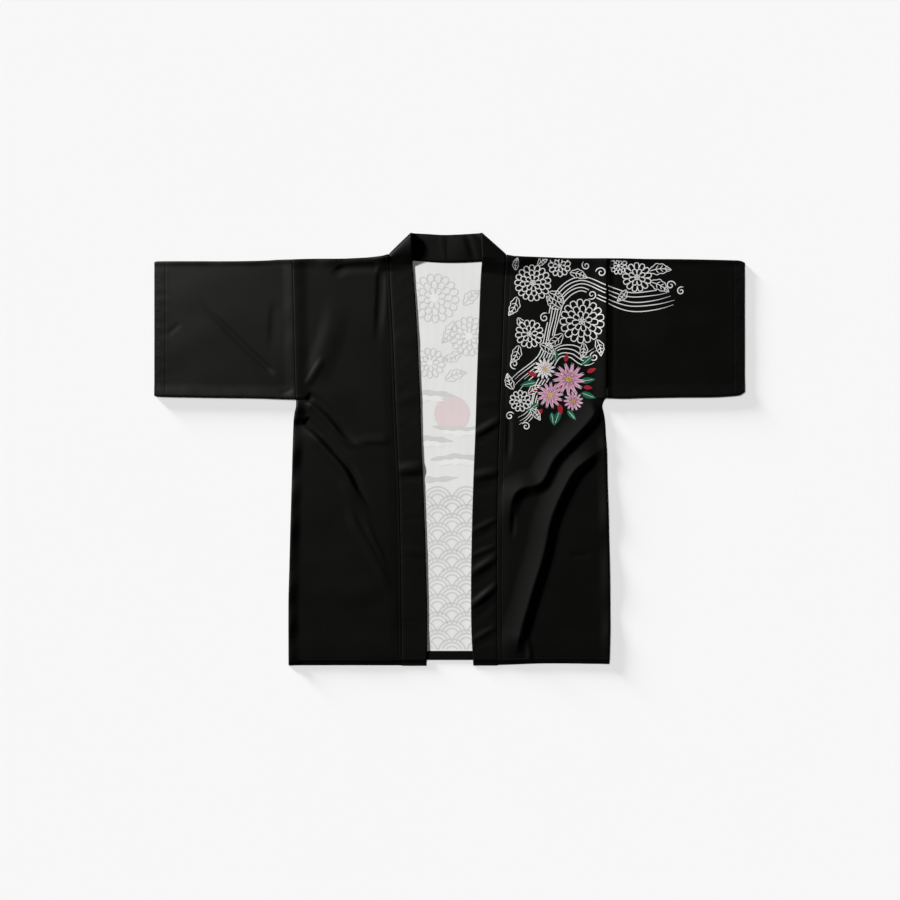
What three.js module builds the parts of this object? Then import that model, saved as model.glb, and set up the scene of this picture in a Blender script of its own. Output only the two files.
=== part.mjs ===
// A kimono jacket of light black cloth, laid open and face up on a flat surface: X runs across the
// shoulders, Y runs from the hem to the collar, Z is up and the surface is Z = 0. The back lies flat
// underneath, the two fronts lie on it, each sleeve is a flattened tube, and a doubled collar band runs
// up each front, folds over the shoulder along a slanting edge and meets its other half at the centre back.
import * as THREE from "three";

// Driving dimensions, in millimetres
const CLOTH = 1.2; // the wall of one layer of cloth
const BAND = 2.4; // the collar band is the cloth doubled
const GAP = 0.3; // clearance between neighbouring pieces
const AIR = 2.6; // how far an upper layer stands off the one below it, away from the seams
const HEM_DEPTH = 16; // the back hem is turned up onto the inside by this much
const HEM_CLOTH = 1.0; // the turned-up hem, pressed flat
const NECK_ROLL = 6; // radius of the collar's roll over the shoulder, at its free edge
const SEAM_ROLL = 3.5; // and at the edge that is sewn on
const ARMHOLE_LIFT = 3.0; // the armhole seam stands this far above cloth that lies flat
const FRONT_COLUMNS = 12;
const ROWS_BELOW_ARM = 27;
const ROWS_ABOVE_ARM = 15;
const SLEEVE_STATIONS = 14;
const SLEEVE_COLUMNS = 13;

const ON_BACK = CLOTH + GAP; // the underside of what lies on the back
const LAID_TOP = ON_BACK + CLOTH; // the outer face of a layer that lies flat on the back

// The outline, as sizes along the garment. Each row is a section; left and right are as seen from above.
const BODY_SIDES = [
  { y: -375, left: -278.9, right: 277.0 },
  { y: -312, left: -279.1, right: 278.4 },
  { y: -260, left: -279.0, right: 278.5 },
  { y: -200, left: -277.4, right: 277.5 },
  { y: -132, left: -275.6, right: 276.1 },
  { y: -63, left: -273.6, right: 274.0 },
  { y: -8, left: -272.1, right: 272.8 },
  { y: 20, left: -271.3, right: 270.9 },
  { y: 48, left: -270.2, right: 269.4 },
  { y: 62, left: -268.5, right: 267.3 },
  { y: 75, left: -265.9, right: 264.6 },
  { y: 84, left: -265.7, right: 266.9 },
  { y: 92, left: -265.9, right: 270.9 },
];
// The armhole seams are straight, from the underarm to the shoulder.
const ARMHOLE = [
  { y: 92, left: -265.9, right: 270.9 },
  { y: 332, left: -271.4, right: 272.6 },
];
const SHOULDER = [
  { x: -272, y: 329.2 },
  { x: -241, y: 330.3 },
  { x: -190, y: 330.5 },
  { x: -158, y: 331.7 },
  { x: -138, y: 333.0 },
  { x: -117, y: 335.5 },
  { x: -105, y: 338.3 },
  { x: 99, y: 337.4 },
  { x: 112, y: 335.3 },
  { x: 163, y: 333.2 },
  { x: 205, y: 331.5 },
  { x: 273, y: 331.2 },
];
const FRONT_HEM = [
  { x: -279, y: -373.4 },
  { x: -75, y: -373.6 },
  { x: -40, y: -375.0 },
  { x: 40, y: -374.2 },
  { x: 90, y: -372.8 },
  { x: 165, y: -370.3 },
  { x: 277, y: -371.2 },
];
const BACK_HEM = -364.3;
const NECKLINE = [
  { x: -105, y: 336.2 },
  { x: -88, y: 329.0 },
  { x: -66, y: 327.2 },
  { x: -4.5, y: 323.6 },
  { x: 58, y: 325.8 },
  { x: 82, y: 329.0 },
  { x: 99, y: 335.6 },
];
const NECK_TOP = [
  { x: -70, y: 374.4 },
  { x: -44, y: 373.4 },
  { x: -12, y: 371.5 },
  { x: 8, y: 371.9 },
  { x: 28, y: 372.9 },
  { x: 56, y: 374.6 },
];
// The collar on each front: where it is sewn on, and its free edge.
const COLLAR_RIGHT = [
  { y: -375, seam: -82.9, free: -39.8 },
  { y: -295, seam: -83.2, free: -38.8 },
  { y: -215, seam: -84.1, free: -40.3 },
  { y: -122, seam: -85.8, free: -43.3 },
  { y: -53, seam: -87.5, free: -45.7 },
  { y: 16, seam: -90.7, free: -48.8 },
  { y: 86, seam: -93.9, free: -50.7 },
  { y: 157, seam: -96.4, free: -54.0 },
  { y: 214, seam: -99.0, free: -56.6 },
  { y: 259, seam: -101.4, free: -59.5 },
  { y: 298, seam: -103.6, free: -62.2 },
  { y: 340, seam: -105.7, free: -65.8 },
];
const COLLAR_LEFT = [
  { y: -375, seam: 83.7, free: 41.0 },
  { y: -312, seam: 82.5, free: 37.6 },
  { y: -226, seam: 82.0, free: 37.0 },
  { y: -122, seam: 82.5, free: 38.9 },
  { y: -53, seam: 83.7, free: 41.0 },
  { y: 34, seam: 86.3, free: 44.5 },
  { y: 103, seam: 88.9, free: 46.5 },
  { y: 158, seam: 90.7, free: 48.4 },
  { y: 214, seam: 92.7, free: 50.5 },
  { y: 255, seam: 94.1, free: 51.9 },
  { y: 297, seam: 95.8, free: 53.7 },
  { y: 340, seam: 98.8, free: 57.2 },
];
// Where the collar turns over the shoulder: the ends of its slanting fold at the free edge and at the seam,
// then the pairs of places it passes on its way along the back neck to the centre.
const CENTRE_BACK = -4.5;
const RIGHT_NECK = {
  free: [-66.8, 375.2],
  seam: [-105.3, 338.2],
  backCorner: [[-104.9, 335.4], [-101.5, 334.0], [-97.3, 332.3]],
  backRun: [
    { free: -45, seam: -86 },
    { free: -36, seam: -67 },
    { free: -25, seam: -45 },
    { free: -15, seam: -24 },
  ],
};
const LEFT_NECK = {
  free: [55.5, 375.2],
  seam: [98.3, 337.4],
  backCorner: [[97.8, 334.6], [94.4, 333.0], [90.3, 330.8]],
  backRun: [
    { free: 35, seam: 79 },
    { free: 27, seam: 61 },
    { free: 17, seam: 39 },
    { free: 7, seam: 17 },
  ],
};
// Each sleeve: its folded top edge and its sewn lower edge.
const SLEEVE_RIGHT = [
  { x: -510.5, top: 324.6, low: 92.6 },
  { x: -507, top: 325.7, low: 91.3 },
  { x: -450, top: 326.0, low: 89.9 },
  { x: -377, top: 326.0, low: 88.8 },
  { x: -325, top: 326.9, low: 88.0 },
  { x: -294, top: 328.6, low: 86.8 },
  { x: -266, top: 329.2, low: 86.3 },
];
const SLEEVE_LEFT = [
  { x: 271, top: 331.2, low: 88.7 },
  { x: 300, top: 331.0, low: 87.8 },
  { x: 340, top: 330.0, low: 88.8 },
  { x: 402, top: 329.5, low: 89.9 },
  { x: 454, top: 328.6, low: 90.2 },
  { x: 490, top: 327.6, low: 92.2 },
  { x: 503, top: 326.8, low: 94.4 },
  { x: 510.5, top: 323.6, low: 99.0 },
];
const CUFF = 510.5; // the cuffs' distance from the centre

// The largest folds. Heights are above or below the cloth around; ahead_left and ahead_right are how far
// the fold spreads on each side of its line, as seen going along the line.
const FRONT_RIGHT_FOLDS = [
  {
    name: "trough from the underarm",
    height: -3.4,
    ahead_left: 15,
    ahead_right: 13,
    line: [[-247, 86], [-220, 70], [-201, 52], [-185, 31], [-169, 17], [-140, 11]],
  },
  {
    name: "ridge from the underarm to the middle",
    height: 5.0,
    ahead_left: 14,
    ahead_right: 30,
    line: [[-253, 50], [-226, 24], [-205, 1], [-184, -22], [-158, -66], [-126, -112]],
  },
  {
    name: "lower ridge",
    height: 2.0,
    ahead_left: 12,
    ahead_right: 16,
    line: [[-178, -84], [-164, -126], [-141, -165], [-96, -255]],
  },
  {
    name: "ridge beside the armhole",
    height: 2.8,
    ahead_left: 34,
    ahead_right: 24,
    line: [[-194, 276], [-212, 190], [-244, 108]],
  },
  {
    name: "trough beside the collar",
    height: -2.4,
    ahead_left: 13,
    ahead_right: 13,
    line: [[-119, 316], [-121, 262], [-126, 176]],
  },
];
const FRONT_LEFT_FOLDS = [
  {
    name: "ridge from the underarm to the collar",
    height: 9.0,
    ahead_left: 24,
    ahead_right: 28,
    line: [[266, 80], [236, 43], [206, 11], [181, -17], [164, -50], [151, -61], [127, -66], [112, -79],
      [103, -150]],
  },
  {
    name: "long ridge from the side to the hem",
    height: 9.6,
    ahead_left: 24,
    ahead_right: 28,
    line: [[274, 10], [235, -20], [216, -37], [201, -62], [183, -100], [166, -165], [146, -235],
      [127, -300], [114, -360]],
  },
  {
    name: "trough beside the collar",
    height: -2.4,
    ahead_left: 13,
    ahead_right: 13,
    line: [[101, 76], [101.5, 30], [100, -26]],
  },
];
const SLEEVE_RIGHT_FOLDS = [
  {
    name: "slanting crease",
    height: -2.2,
    ahead_left: 18,
    ahead_right: 13,
    line: [[-436, 268], [-417, 240], [-386, 209], [-356, 179], [-334, 159], [-300, 128]],
  },
  {
    name: "trough beside the armhole",
    height: -1.4,
    ahead_left: 16,
    ahead_right: 14,
    line: [[-303, 262], [-306, 220], [-308, 160]],
  },
];
const SLEEVE_LEFT_FOLDS = [
  {
    name: "trough beside the armhole",
    height: -2.0,
    ahead_left: 26,
    ahead_right: 14,
    line: [[293, 296], [291, 190], [293, 110]],
  },
  {
    name: "soft ridge over the sleeve",
    height: 1.8,
    ahead_left: 40,
    ahead_right: 46,
    line: [[300, 214], [390, 208], [500, 218]],
  },
];
// Puckers across each collar: y at the free edge and at the seam, and how far each one rises or sinks.
const COLLAR_PUCKERS = {
  right: [
    { free: -30, seam: -32, height: 1.6 },
    { free: -50, seam: -48, height: -1.2 },
  ],
  left: [
    { free: 28, seam: 50, height: 1.8 },
    { free: 12, seam: 34, height: -1.0 },
    { free: -46, seam: -40, height: 2.0 },
    { free: -68, seam: -62, height: -1.2 },
    { free: -214, seam: -186, height: 1.8 },
    { free: -236, seam: -206, height: -1.0 },
    { free: -270, seam: -236, height: 2.2 },
    { free: -298, seam: -262, height: -1.2 },
  ],
};
const PUCKER_SPREAD = 13;

const clamp = (v) => Math.min(1, Math.max(0, v));
const smooth = (v) => clamp(v) ** 2 * (3 - 2 * clamp(v));
const mix = (a, b, t) => a + (b - a) * t;
const point = (x, y, z) => new THREE.Vector3(x, y, z);

// A value read from a table's column, along a smooth curve through its rows.
function read(rows, key, column, at) {
  const last = rows.length - 1;
  let i = 0;
  while (i < last - 1 && rows[i + 1][key] < at) i++;
  const slope = (k) => {
    const a = rows[Math.max(k - 1, 0)];
    const b = rows[Math.min(k + 1, last)];
    return (b[column] - a[column]) / (b[key] - a[key]);
  };
  const step = rows[i + 1][key] - rows[i][key];
  const t = clamp((at - rows[i][key]) / step);
  return (
    (2 * t ** 3 - 3 * t ** 2 + 1) * rows[i][column] +
    (t ** 3 - 2 * t ** 2 + t) * step * slope(i) +
    (3 * t ** 2 - 2 * t ** 3) * rows[i + 1][column] +
    (t ** 3 - t ** 2) * step * slope(i + 1)
  );
}

// Folds with their line as closely spaced points and the distance walked to each point.
function prepared(folds) {
  return folds.map((fold) => {
    const curve = new THREE.CatmullRomCurve3(fold.line.map(([x, y]) => point(x, y, 0)), false, "centripetal");
    return { ...fold, path: curve.getSpacedPoints(4 * fold.line.length) };
  });
}

// The height that the folds give at a place: a rounded cross-section that fades towards both ends.
function foldHeight(folds, x, y) {
  let height = 0;
  for (const { path, height: rise, ahead_left, ahead_right } of folds) {
    let nearest = Infinity;
    let share = 0;
    let spread = ahead_left;
    for (let i = 0; i + 1 < path.length; i++) {
      const [a, b] = [path[i], path[i + 1]];
      const [dx, dy] = [b.x - a.x, b.y - a.y];
      const t = clamp(((x - a.x) * dx + (y - a.y) * dy) / (dx * dx + dy * dy));
      const [ox, oy] = [x - a.x - t * dx, y - a.y - t * dy];
      const distance = Math.hypot(ox, oy);
      if (distance < nearest) {
        nearest = distance;
        share = (i + t) / (path.length - 1);
        spread = dx * oy - dy * ox > 0 ? ahead_left : ahead_right;
      }
    }
    if (nearest < spread) {
      const fade = smooth(share / 0.12) * smooth((1 - share) / 0.2);
      height += rise * fade * 0.5 * (1 + Math.cos((Math.PI * nearest) / spread));
    }
  }
  return height;
}

// Never below zero, with a soft turn where a trough meets the layer beneath.
const resting = (v) => 0.5 * (v + Math.sqrt(v * v + 0.3));

// A closed wall between two grids of points with the same rows and columns. Where round is true the
// columns join up, as in a tube. The faces are turned round if they came out facing inwards.
function wallBetween(outer, inner, round = false) {
  const [rows, columns] = [outer.length, outer[0].length];
  const points = [...outer.flat(), ...inner.flat()];
  const at = (side, i, j) => (side * rows + i) * columns + (j % columns);
  const faces = [];
  // Each four-sided patch is split along the diagonal whose ends are nearest in height, so that it
  // follows a fold that crosses the grid at a slant.
  const quad = (a, b, c, d) => {
    const level = (p, q) => Math.abs(points[p].z - points[q].z);
    if (level(a, c) <= level(b, d)) faces.push(a, b, c, a, c, d);
    else faces.push(a, b, d, b, c, d);
  };
  for (let i = 0; i + 1 < rows; i++)
    for (let j = 0; j < (round ? columns : columns - 1); j++) {
      quad(at(0, i, j), at(0, i, j + 1), at(0, i + 1, j + 1), at(0, i + 1, j));
      quad(at(1, i, j), at(1, i + 1, j), at(1, i + 1, j + 1), at(1, i, j + 1));
    }
  for (let j = 0; j < (round ? columns : columns - 1); j++) {
    quad(at(0, 0, j), at(1, 0, j), at(1, 0, j + 1), at(0, 0, j + 1));
    quad(at(0, rows - 1, j), at(0, rows - 1, j + 1), at(1, rows - 1, j + 1), at(1, rows - 1, j));
  }
  for (let i = 0; !round && i + 1 < rows; i++) {
    const end = columns - 1;
    quad(at(0, i, 0), at(0, i + 1, 0), at(1, i + 1, 0), at(1, i, 0));
    quad(at(0, i, end), at(1, i, end), at(1, i + 1, end), at(0, i + 1, end));
  }
  return closedGeometry(points, faces);
}

// A solid strip through rings of points, closed at both ends.
function stripThrough(rings) {
  const count = rings[0].length;
  const points = rings.flat();
  const faces = [];
  for (let i = 0; i + 1 < rings.length; i++)
    for (let j = 0; j < count; j++) {
      const [a, b] = [i * count + j, i * count + ((j + 1) % count)];
      faces.push(a, b, b + count, a, b + count, a + count);
    }
  const end = (rings.length - 1) * count;
  for (let j = 1; j + 1 < count; j++) {
    faces.push(0, j + 1, j);
    faces.push(end, end + j, end + j + 1);
  }
  return closedGeometry(points, faces);
}

function closedGeometry(points, faces) {
  let volume = 0;
  for (let f = 0; f < faces.length; f += 3) {
    const [a, b, c] = [points[faces[f]], points[faces[f + 1]], points[faces[f + 2]]];
    volume += a.dot(b.clone().cross(c));
  }
  if (volume < 0) {
    for (let f = 0; f < faces.length; f += 3) [faces[f], faces[f + 1]] = [faces[f + 1], faces[f]];
  }
  const geometry = new THREE.BufferGeometry().setFromPoints(points);
  geometry.setIndex(faces);
  geometry.computeVertexNormals();
  return geometry;
}

// The body's outer edge: the side seam up to the underarm, then the armhole seam.
function outerEdge(y, side) {
  const hand = side === "left" ? -1 : 1;
  const clearOfSleeve = y > 80 ? (hand * GAP) / 2 : 0;
  return read(y < 92 ? BODY_SIDES : ARMHOLE, "y", side, y) - clearOfSleeve;
}

// The levels of a front's rows from the hem to just below the shoulder, at one place across.
function levelsAt(x) {
  const hem = read(FRONT_HEM, "x", "y", x);
  const below = read(SHOULDER, "x", "y", x) - 16;
  const levels = [hem, hem + 1.4, -367.9, -364.6, -359, -347, -339];
  for (let k = 1; k <= ROWS_BELOW_ARM; k++) levels.push(mix(-339, 76, k / ROWS_BELOW_ARM));
  levels.push(84, 92);
  for (let k = 1; k <= ROWS_ABOVE_ARM; k++) levels.push(mix(92, below, k / ROWS_ABOVE_ARM));
  return levels;
}

// A front's columns: distances in from its outer edge, then equal shares of the width to the collar seam.
const RIM = 10;
const columnPlace = (side, j, rims) => {
  const hand = side === "left" ? -1 : 1;
  const share = j < rims ? 0 : (j - rims + 1) / FRONT_COLUMNS;
  return { share, roughX: hand * mix(270, 92, share) };
};
function acrossFront(y, side, collar, share, inset) {
  const hand = side === "left" ? -1 : 1;
  const edge = outerEdge(y, side);
  const seam = read(collar, "y", "seam", y) + (hand * GAP) / 2;
  return share === 0 ? edge - hand * inset : mix(edge - hand * RIM, seam, share);
}

// How the collar's two edges rise towards the neck, from lying flat at the chest.
const seamRise = (y) => smooth((y - 300) / 32);
const freeRise = (y) => smooth((y - 300) / 44);
// Lift over the turned-up hem of the back, and the drop to the surface past the back's own edge.
const hemLift = (y) => (HEM_CLOTH + GAP) * smooth((-339 - y) / 7);
const hemDrop = (y) => smooth((BACK_HEM - 0.4 - y) / 3.3);
const laidUnderside = (y) => (ON_BACK + hemLift(y)) * (1 - hemDrop(y));

// One front: the outer edge turns down to the surface at the side and shoulder, where the back is joined on.
function front(collar, side, folds) {
  const ready = prepared(folds);
  const outerRims = [0, 0.5, 1.6, RIM];
  const innerRims = [0.15, CLOTH, CLOTH, RIM];
  const columns = outerRims.length + FRONT_COLUMNS;
  // The shoulder's own rows, as distances below its edge, for the outer and inner face.
  const outerTop = [8, 3.4, 1.2, 0.4, 0];
  const innerTop = [8, 3.4, CLOTH, CLOTH, 0.15];
  // Heights as shares of the full height, where the outer face rounds over an edge.
  const sideRound = [0.4, 0.85];
  const topRound = { 3: 0.85, 4: 0.4 };

  const underside = (x, y, share, edge, seam, hem, shoulder) => {
    const [fromSide, fromSeam] = [Math.abs(x - edge), Math.abs(x - seam)];
    const fromShoulder = shoulder - y;
    const loose =
      smooth(fromSide / 16) * smooth(fromSeam / 13) * smooth(fromShoulder / 20) * smooth((y - hem + 4) / 16);
    const neck = 5.3 * seamRise(y) * Math.exp(-((fromSeam / 34) ** 2)) * smooth(fromShoulder / 4 + 0.35);
    const armhole = y > 88 ? ARMHOLE_LIFT * (1 - smooth(fromSide / 16)) : 0;
    const loft = resting(AIR * loose + foldHeight(ready, x, y) * loose) - 0.27 + neck + armhole;
    return laidUnderside(y) + loft * (1 - hemDrop(y));
  };

  function face(isOuter) {
    const rims = isOuter ? outerRims : innerRims;
    const grid = [];
    const rowCount = levelsAt(0).length + outerTop.length;
    for (let i = 0; i < rowCount; i++) {
      const row = [];
      for (let j = 0; j < columns; j++) {
        const { share, roughX } = columnPlace(side, j, rims.length);
        const levels = levelsAt(roughX);
        const shoulder = read(SHOULDER, "x", "y", roughX);
        const top = i - levels.length;
        const y = top < 0 ? levels[i] : shoulder - (isOuter ? outerTop : innerTop)[top];
        const x = acrossFront(y, side, collar, share, rims[j]);
        const under = underside(x, y, share, outerEdge(y, side), acrossFront(y, side, collar, 1),
          levels[0], shoulder);
        const turnedDown = (j < 2 && y < 88) || top > 2;
        if (!isOuter) {
          row.push(point(x, y, turnedDown ? 0 : under));
          continue;
        }
        const round = Math.min(sideRound[j] ?? 1, topRound[top] ?? 1);
        const open = i === 0 || j === columns - 1 || (j === 0 && y > 88) ? 0.5 : 1;
        const thin = Math.min(open, j ? 1 : 0.6);
        row.push(point(x, y, turnedDown ? (under + CLOTH) * round : under + CLOTH * thin));
      }
      grid.push(row);
    }
    return grid;
  }
  return wallBetween(face(true), face(false));
}

// One sleeve: a tube lying flat, its lower wall on the surface, closed by a fold above and a seam below.
function sleeve(edges, armholeOnRight, folds) {
  const ready = prepared(folds);
  const along = [0, 0.004, 0.02, 0.05];
  const stations = [];
  for (let i = 0; i < along.length; i++) stations.push(along[i]);
  for (let i = 1; i <= SLEEVE_STATIONS; i++) stations.push(mix(0.05, 0.95, i / SLEEVE_STATIONS));
  for (let i = along.length - 2; i >= 0; i--) stations.push(1 - along[i]);
  const armholeAt = (y) => {
    const [low, top] = ARMHOLE;
    const column = armholeOnRight ? "left" : "right";
    return mix(low[column], top[column], (y - low.y) / (top.y - low.y));
  };
  const rim = [0, 0.8, 3, 8];
  const outer = [];
  const inner = [];
  for (const u of stations) {
    const place = (y, z) => {
      const armhole = armholeAt(y) + (armholeOnRight ? -1 : 1) * GAP * 0.5;
      return point(armholeOnRight ? mix(-CUFF, armhole, u) : mix(armhole, CUFF, u), y, z);
    };
    const roughX = armholeOnRight ? mix(-CUFF, -268, u) : mix(272, CUFF, u);
    const fold = read(edges, "x", "top", roughX);
    const seam = read(edges, "x", "low", roughX);
    const fromArmhole = (armholeOnRight ? 1 - u : u) * 240;
    const fromCuff = 240 - fromArmhole;
    const heightAt = (y) => {
      const loose = smooth((fold - y) / 20) * smooth((y - seam) / 16);
      const open = smooth(fromArmhole / 16);
      const mouth = 1.2 * loose * (1 - smooth(fromCuff / 30));
      const creases = foldHeight(ready, place(y, 0).x, y) * loose * open;
      const lift = mouth + ARMHOLE_LIFT * (1 - open) * loose;
      return ON_BACK + resting(AIR * loose * open + creases) - 0.27 + lift;
    };
    const ys = [];
    for (let j = 0; j < rim.length; j++) ys.push(fold - rim[j]);
    for (let j = 1; j <= SLEEVE_COLUMNS; j++) ys.push(mix(fold - 8, seam + 8, j / SLEEVE_COLUMNS));
    for (let j = rim.length - 2; j >= 0; j--) ys.push(seam + rim[j]);
    const outerRing = [];
    const innerRing = [];
    ys.forEach((y, j) => {
      const atRim = j === 0 || j === ys.length - 1;
      const inset = Math.min(fold - CLOTH, Math.max(seam + CLOTH, y));
      const cloth = CLOTH * (j === 1 || j === ys.length - 2 ? 0.8 : 1);
      outerRing.push(place(y, atRim ? LAID_TOP / 2 : heightAt(y) + cloth));
      innerRing.push(place(inset, atRim ? LAID_TOP / 2 : heightAt(inset)));
    });
    const lower = [seam + 0.8, ...[0.25, 0.5, 0.75].map((share) => mix(seam, fold, share)), fold - 0.8];
    for (const y of lower) {
      outerRing.push(place(y, 0));
      innerRing.push(place(Math.min(fold - CLOTH - 0.05, Math.max(seam + CLOTH + 0.05, y)), CLOTH));
    }
    // The second and the last but one inner points sit just inside the rim, apart from it.
    const nudge = 0.3;
    innerRing[1].y -= nudge;
    innerRing[ys.length - 2].y += nudge;
    outer.push(outerRing);
    inner.push(innerRing);
  }
  return wallBetween(outer, inner, true);
}

// The back: flat on the surface, inside the fronts' turned-down edges, with a straight hem and
// a shallow neck.
function back() {
  const inset = CLOTH + GAP;
  const half = (side, collar, neck) => {
    const hand = side === "left" ? -1 : 1;
    const outline = [];
    const atSide = (y, by) => outline.push([outerEdge(y, side) - hand * by, y]);
    atSide(BACK_HEM, inset);
    for (const y of levelsAt(hand * 270)) if (y > BACK_HEM && y < 93) atSide(y, inset);
    const corner = read(SHOULDER, "x", "y", hand * 270) - inset;
    for (const y of [94, corner]) atSide(y, 0);
    outline.push([acrossFront(corner, side, collar, 0, RIM), corner]);
    for (let j = 1; j <= FRONT_COLUMNS; j++) {
      const place = columnPlace(side, j, 1);
      const y = read(SHOULDER, "x", "y", place.roughX) - inset;
      outline.push([acrossFront(y, side, collar, place.share, RIM), y]);
    }
    outline.push(...neck.backCorner);
    for (const { seam } of neck.backRun) outline.push([seam, read(NECKLINE, "x", "y", seam) - GAP / 2]);
    return outline;
  };
  const right = half("left", COLLAR_RIGHT, RIGHT_NECK);
  const left = half("right", COLLAR_LEFT, LEFT_NECK);
  const centre = [[CENTRE_BACK, read(NECKLINE, "x", "y", CENTRE_BACK) - GAP / 2]];
  const outline = [...right, ...centre, ...left.reverse()].map(([x, y]) => new THREE.Vector2(x, y));
  return new THREE.ExtrudeGeometry(new THREE.Shape(outline), { depth: CLOTH, bevelEnabled: false });
}

// The back's hem, turned up onto its inside.
function backHem() {
  const steps = 8;
  const rowsOf = (z, rim) =>
    [BACK_HEM + rim, BACK_HEM + HEM_DEPTH - rim].map((y) => {
      const row = [];
      for (let j = 0; j <= steps; j++) {
        const left = read(BODY_SIDES, "y", "left", y) + 3 + rim;
        const right = read(BODY_SIDES, "y", "right", y) - 3 - rim;
        row.push(point(mix(left, right, j / steps), y, z));
      }
      return row;
    });
  return wallBetween(rowsOf(ON_BACK + HEM_CLOTH, 0.25), rowsOf(ON_BACK, 0));
}

// Half of the collar: up the front, over the shoulder on a roll, and along the back neck to the centre.
function collar(rows, side, corner, puckers) {
  const hand = side === "right" ? 1 : -1; // which way the centre back lies
  const half = BAND / 2;
  const stations = []; // each has both edges' middles, both edges' thickness directions
  const up = point(0, 0, 1);
  const add = (free, seam, freeWay = up, seamWay = freeWay, rise = () => 0) =>
    stations.push({ free, seam, freeWay, seamWay, rise });

  // The front's own levels, but with the hem's as it is under the collar.
  const levels = levelsAt(hand * -92);
  const hem = read(FRONT_HEM, "x", "y", hand * -60);
  for (const y of [hem, hem + 1.4, ...levels.slice(2)]) {
    const base = laidUnderside(y) + half;
    const freeX = read(rows, "y", "free", y);
    const seamX = read(rows, "y", "seam", y) + hand * GAP * 0.5;
    const wrinkle = (w) =>
      puckers.reduce((sum, p) => {
        const d = Math.abs(y - mix(p.free, p.seam, w)) / PUCKER_SPREAD;
        return sum + (d < 1 ? p.height * 0.5 * (1 + Math.cos(Math.PI * d)) : 0);
      }, 0) * Math.sin(Math.PI * (0.12 + 0.8 * w));
    add(
      point(freeX, y, base + freeRise(y) * (2 * NECK_ROLL + half - base)),
      point(seamX, y, base + seamRise(y) * (2 * SEAM_ROLL + half - base)),
      up,
      up,
      (w) => Math.max(wrinkle(w), -0.0) + Math.min(wrinkle(w), 0) * 0.15,
    );
  }
  // The roll over the shoulder. Each edge swings over a half turn: it comes up along the front, passes its
  // corner at half height, and leaves along the back neck, so that the corner stays sharp from above.
  const out = point(-hand * 0.683, 0.73, 0);
  const swing = (corner2, radius, [alongFront, alongNeck], landing, angle) => {
    const turned = 1 - Math.cos(angle);
    const start = point(corner2[0], corner2[1], 0).addScaledVector(out, -half);
    const x = start.x + (angle < 0 ? hand * alongNeck * turned : 0);
    const y = angle < 0 ? mix(start.y, landing, turned) : start.y - alongFront * turned;
    return point(x, y, radius + half + radius * Math.sin(angle));
  };
  const runTop = stations[stations.length - 1];
  const down = point(0, 0, -1);
  for (const degrees of [90, 60, 30, 0, -30, -60, -90]) {
    const angle = (degrees * Math.PI) / 180;
    const freeEnd = corner.free[0] + hand * 14;
    const seamEnd = corner.seam[0] + hand * 8;
    const free = swing(corner.free, NECK_ROLL, [9, 14], read(NECK_TOP, "x", "y", freeEnd), angle);
    const seam = swing(corner.seam, SEAM_ROLL, [5, 8], read(NECKLINE, "x", "y", seamEnd) + GAP * 0.5, angle);
    const way = out.clone().multiplyScalar(Math.cos(angle)).setZ(Math.sin(angle));
    if (degrees === 90) {
      for (const t of [0.35, 0.7]) add(runTop.free.clone().lerp(free, t), runTop.seam.clone().lerp(seam, t), up);
    }
    add(free, seam, way);
  }
  // Along the back neck, under the front run at first, to the centre-back seam.
  for (const { free, seam } of corner.backRun)
    add(
      point(free, read(NECK_TOP, "x", "y", free), half),
      point(seam, read(NECKLINE, "x", "y", seam) + GAP * 0.5, half),
      down,
    );
  const end = CENTRE_BACK - hand * GAP * 0.5;
  const [top, low] = [read(NECK_TOP, "x", "y", end), read(NECKLINE, "x", "y", end) + GAP * 0.5];
  add(point(end, top, half), point(end, low, half), down);

  // Round each station: the free edge is a fold and so rounded, the sewn edge is nearly square.
  const section = [
    { w: 0.0, n: 0.0 },
    { w: 0.02, n: 0.75 },
    { w: 0.07, n: 1.0 },
    { w: 0.36, n: 1.0 },
    { w: 0.66, n: 1.0 },
    { w: 0.95, n: 1.0 },
    { w: 1.0, n: 0.5 },
    { w: 1.0, n: -0.85 },
    { w: 0.66, n: -1.0 },
    { w: 0.36, n: -1.0 },
    { w: 0.04, n: -1.0 },
  ];
  const rings = stations.map(({ free, seam, freeWay, seamWay, rise }) =>
    section.map(({ w, n }) => {
      const way = freeWay.clone().lerp(seamWay, w).normalize();
      return free.clone().lerp(seam, w).addScaledVector(way, half * n + rise(w));
    }),
  );
  return stripThrough(rings);
}

const blackCloth = () => new THREE.MeshStandardMaterial({ color: 0x141414, roughness: 0.55, metalness: 0 });
const paleCloth = () => new THREE.MeshStandardMaterial({ color: 0xdcdedb, roughness: 0.8, metalness: 0 });

const jacket = new THREE.Group();
function piece(name, geometry, material) {
  const mesh = new THREE.Mesh(geometry, material);
  mesh.name = name;
  jacket.add(mesh);
}

piece("back", back(), paleCloth());
piece("back_hem", backHem(), blackCloth());
piece("front_right", front(COLLAR_RIGHT, "left", FRONT_RIGHT_FOLDS), blackCloth());
piece("front_left", front(COLLAR_LEFT, "right", FRONT_LEFT_FOLDS), blackCloth());
piece("sleeve_right", sleeve(SLEEVE_RIGHT, true, SLEEVE_RIGHT_FOLDS), blackCloth());
piece("sleeve_left", sleeve(SLEEVE_LEFT, false, SLEEVE_LEFT_FOLDS), blackCloth());
piece("collar_right", collar(COLLAR_RIGHT, "right", RIGHT_NECK, COLLAR_PUCKERS.right), blackCloth());
piece("collar_left", collar(COLLAR_LEFT, "left", LEFT_NECK, COLLAR_PUCKERS.left), blackCloth());

export default jacket;
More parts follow.
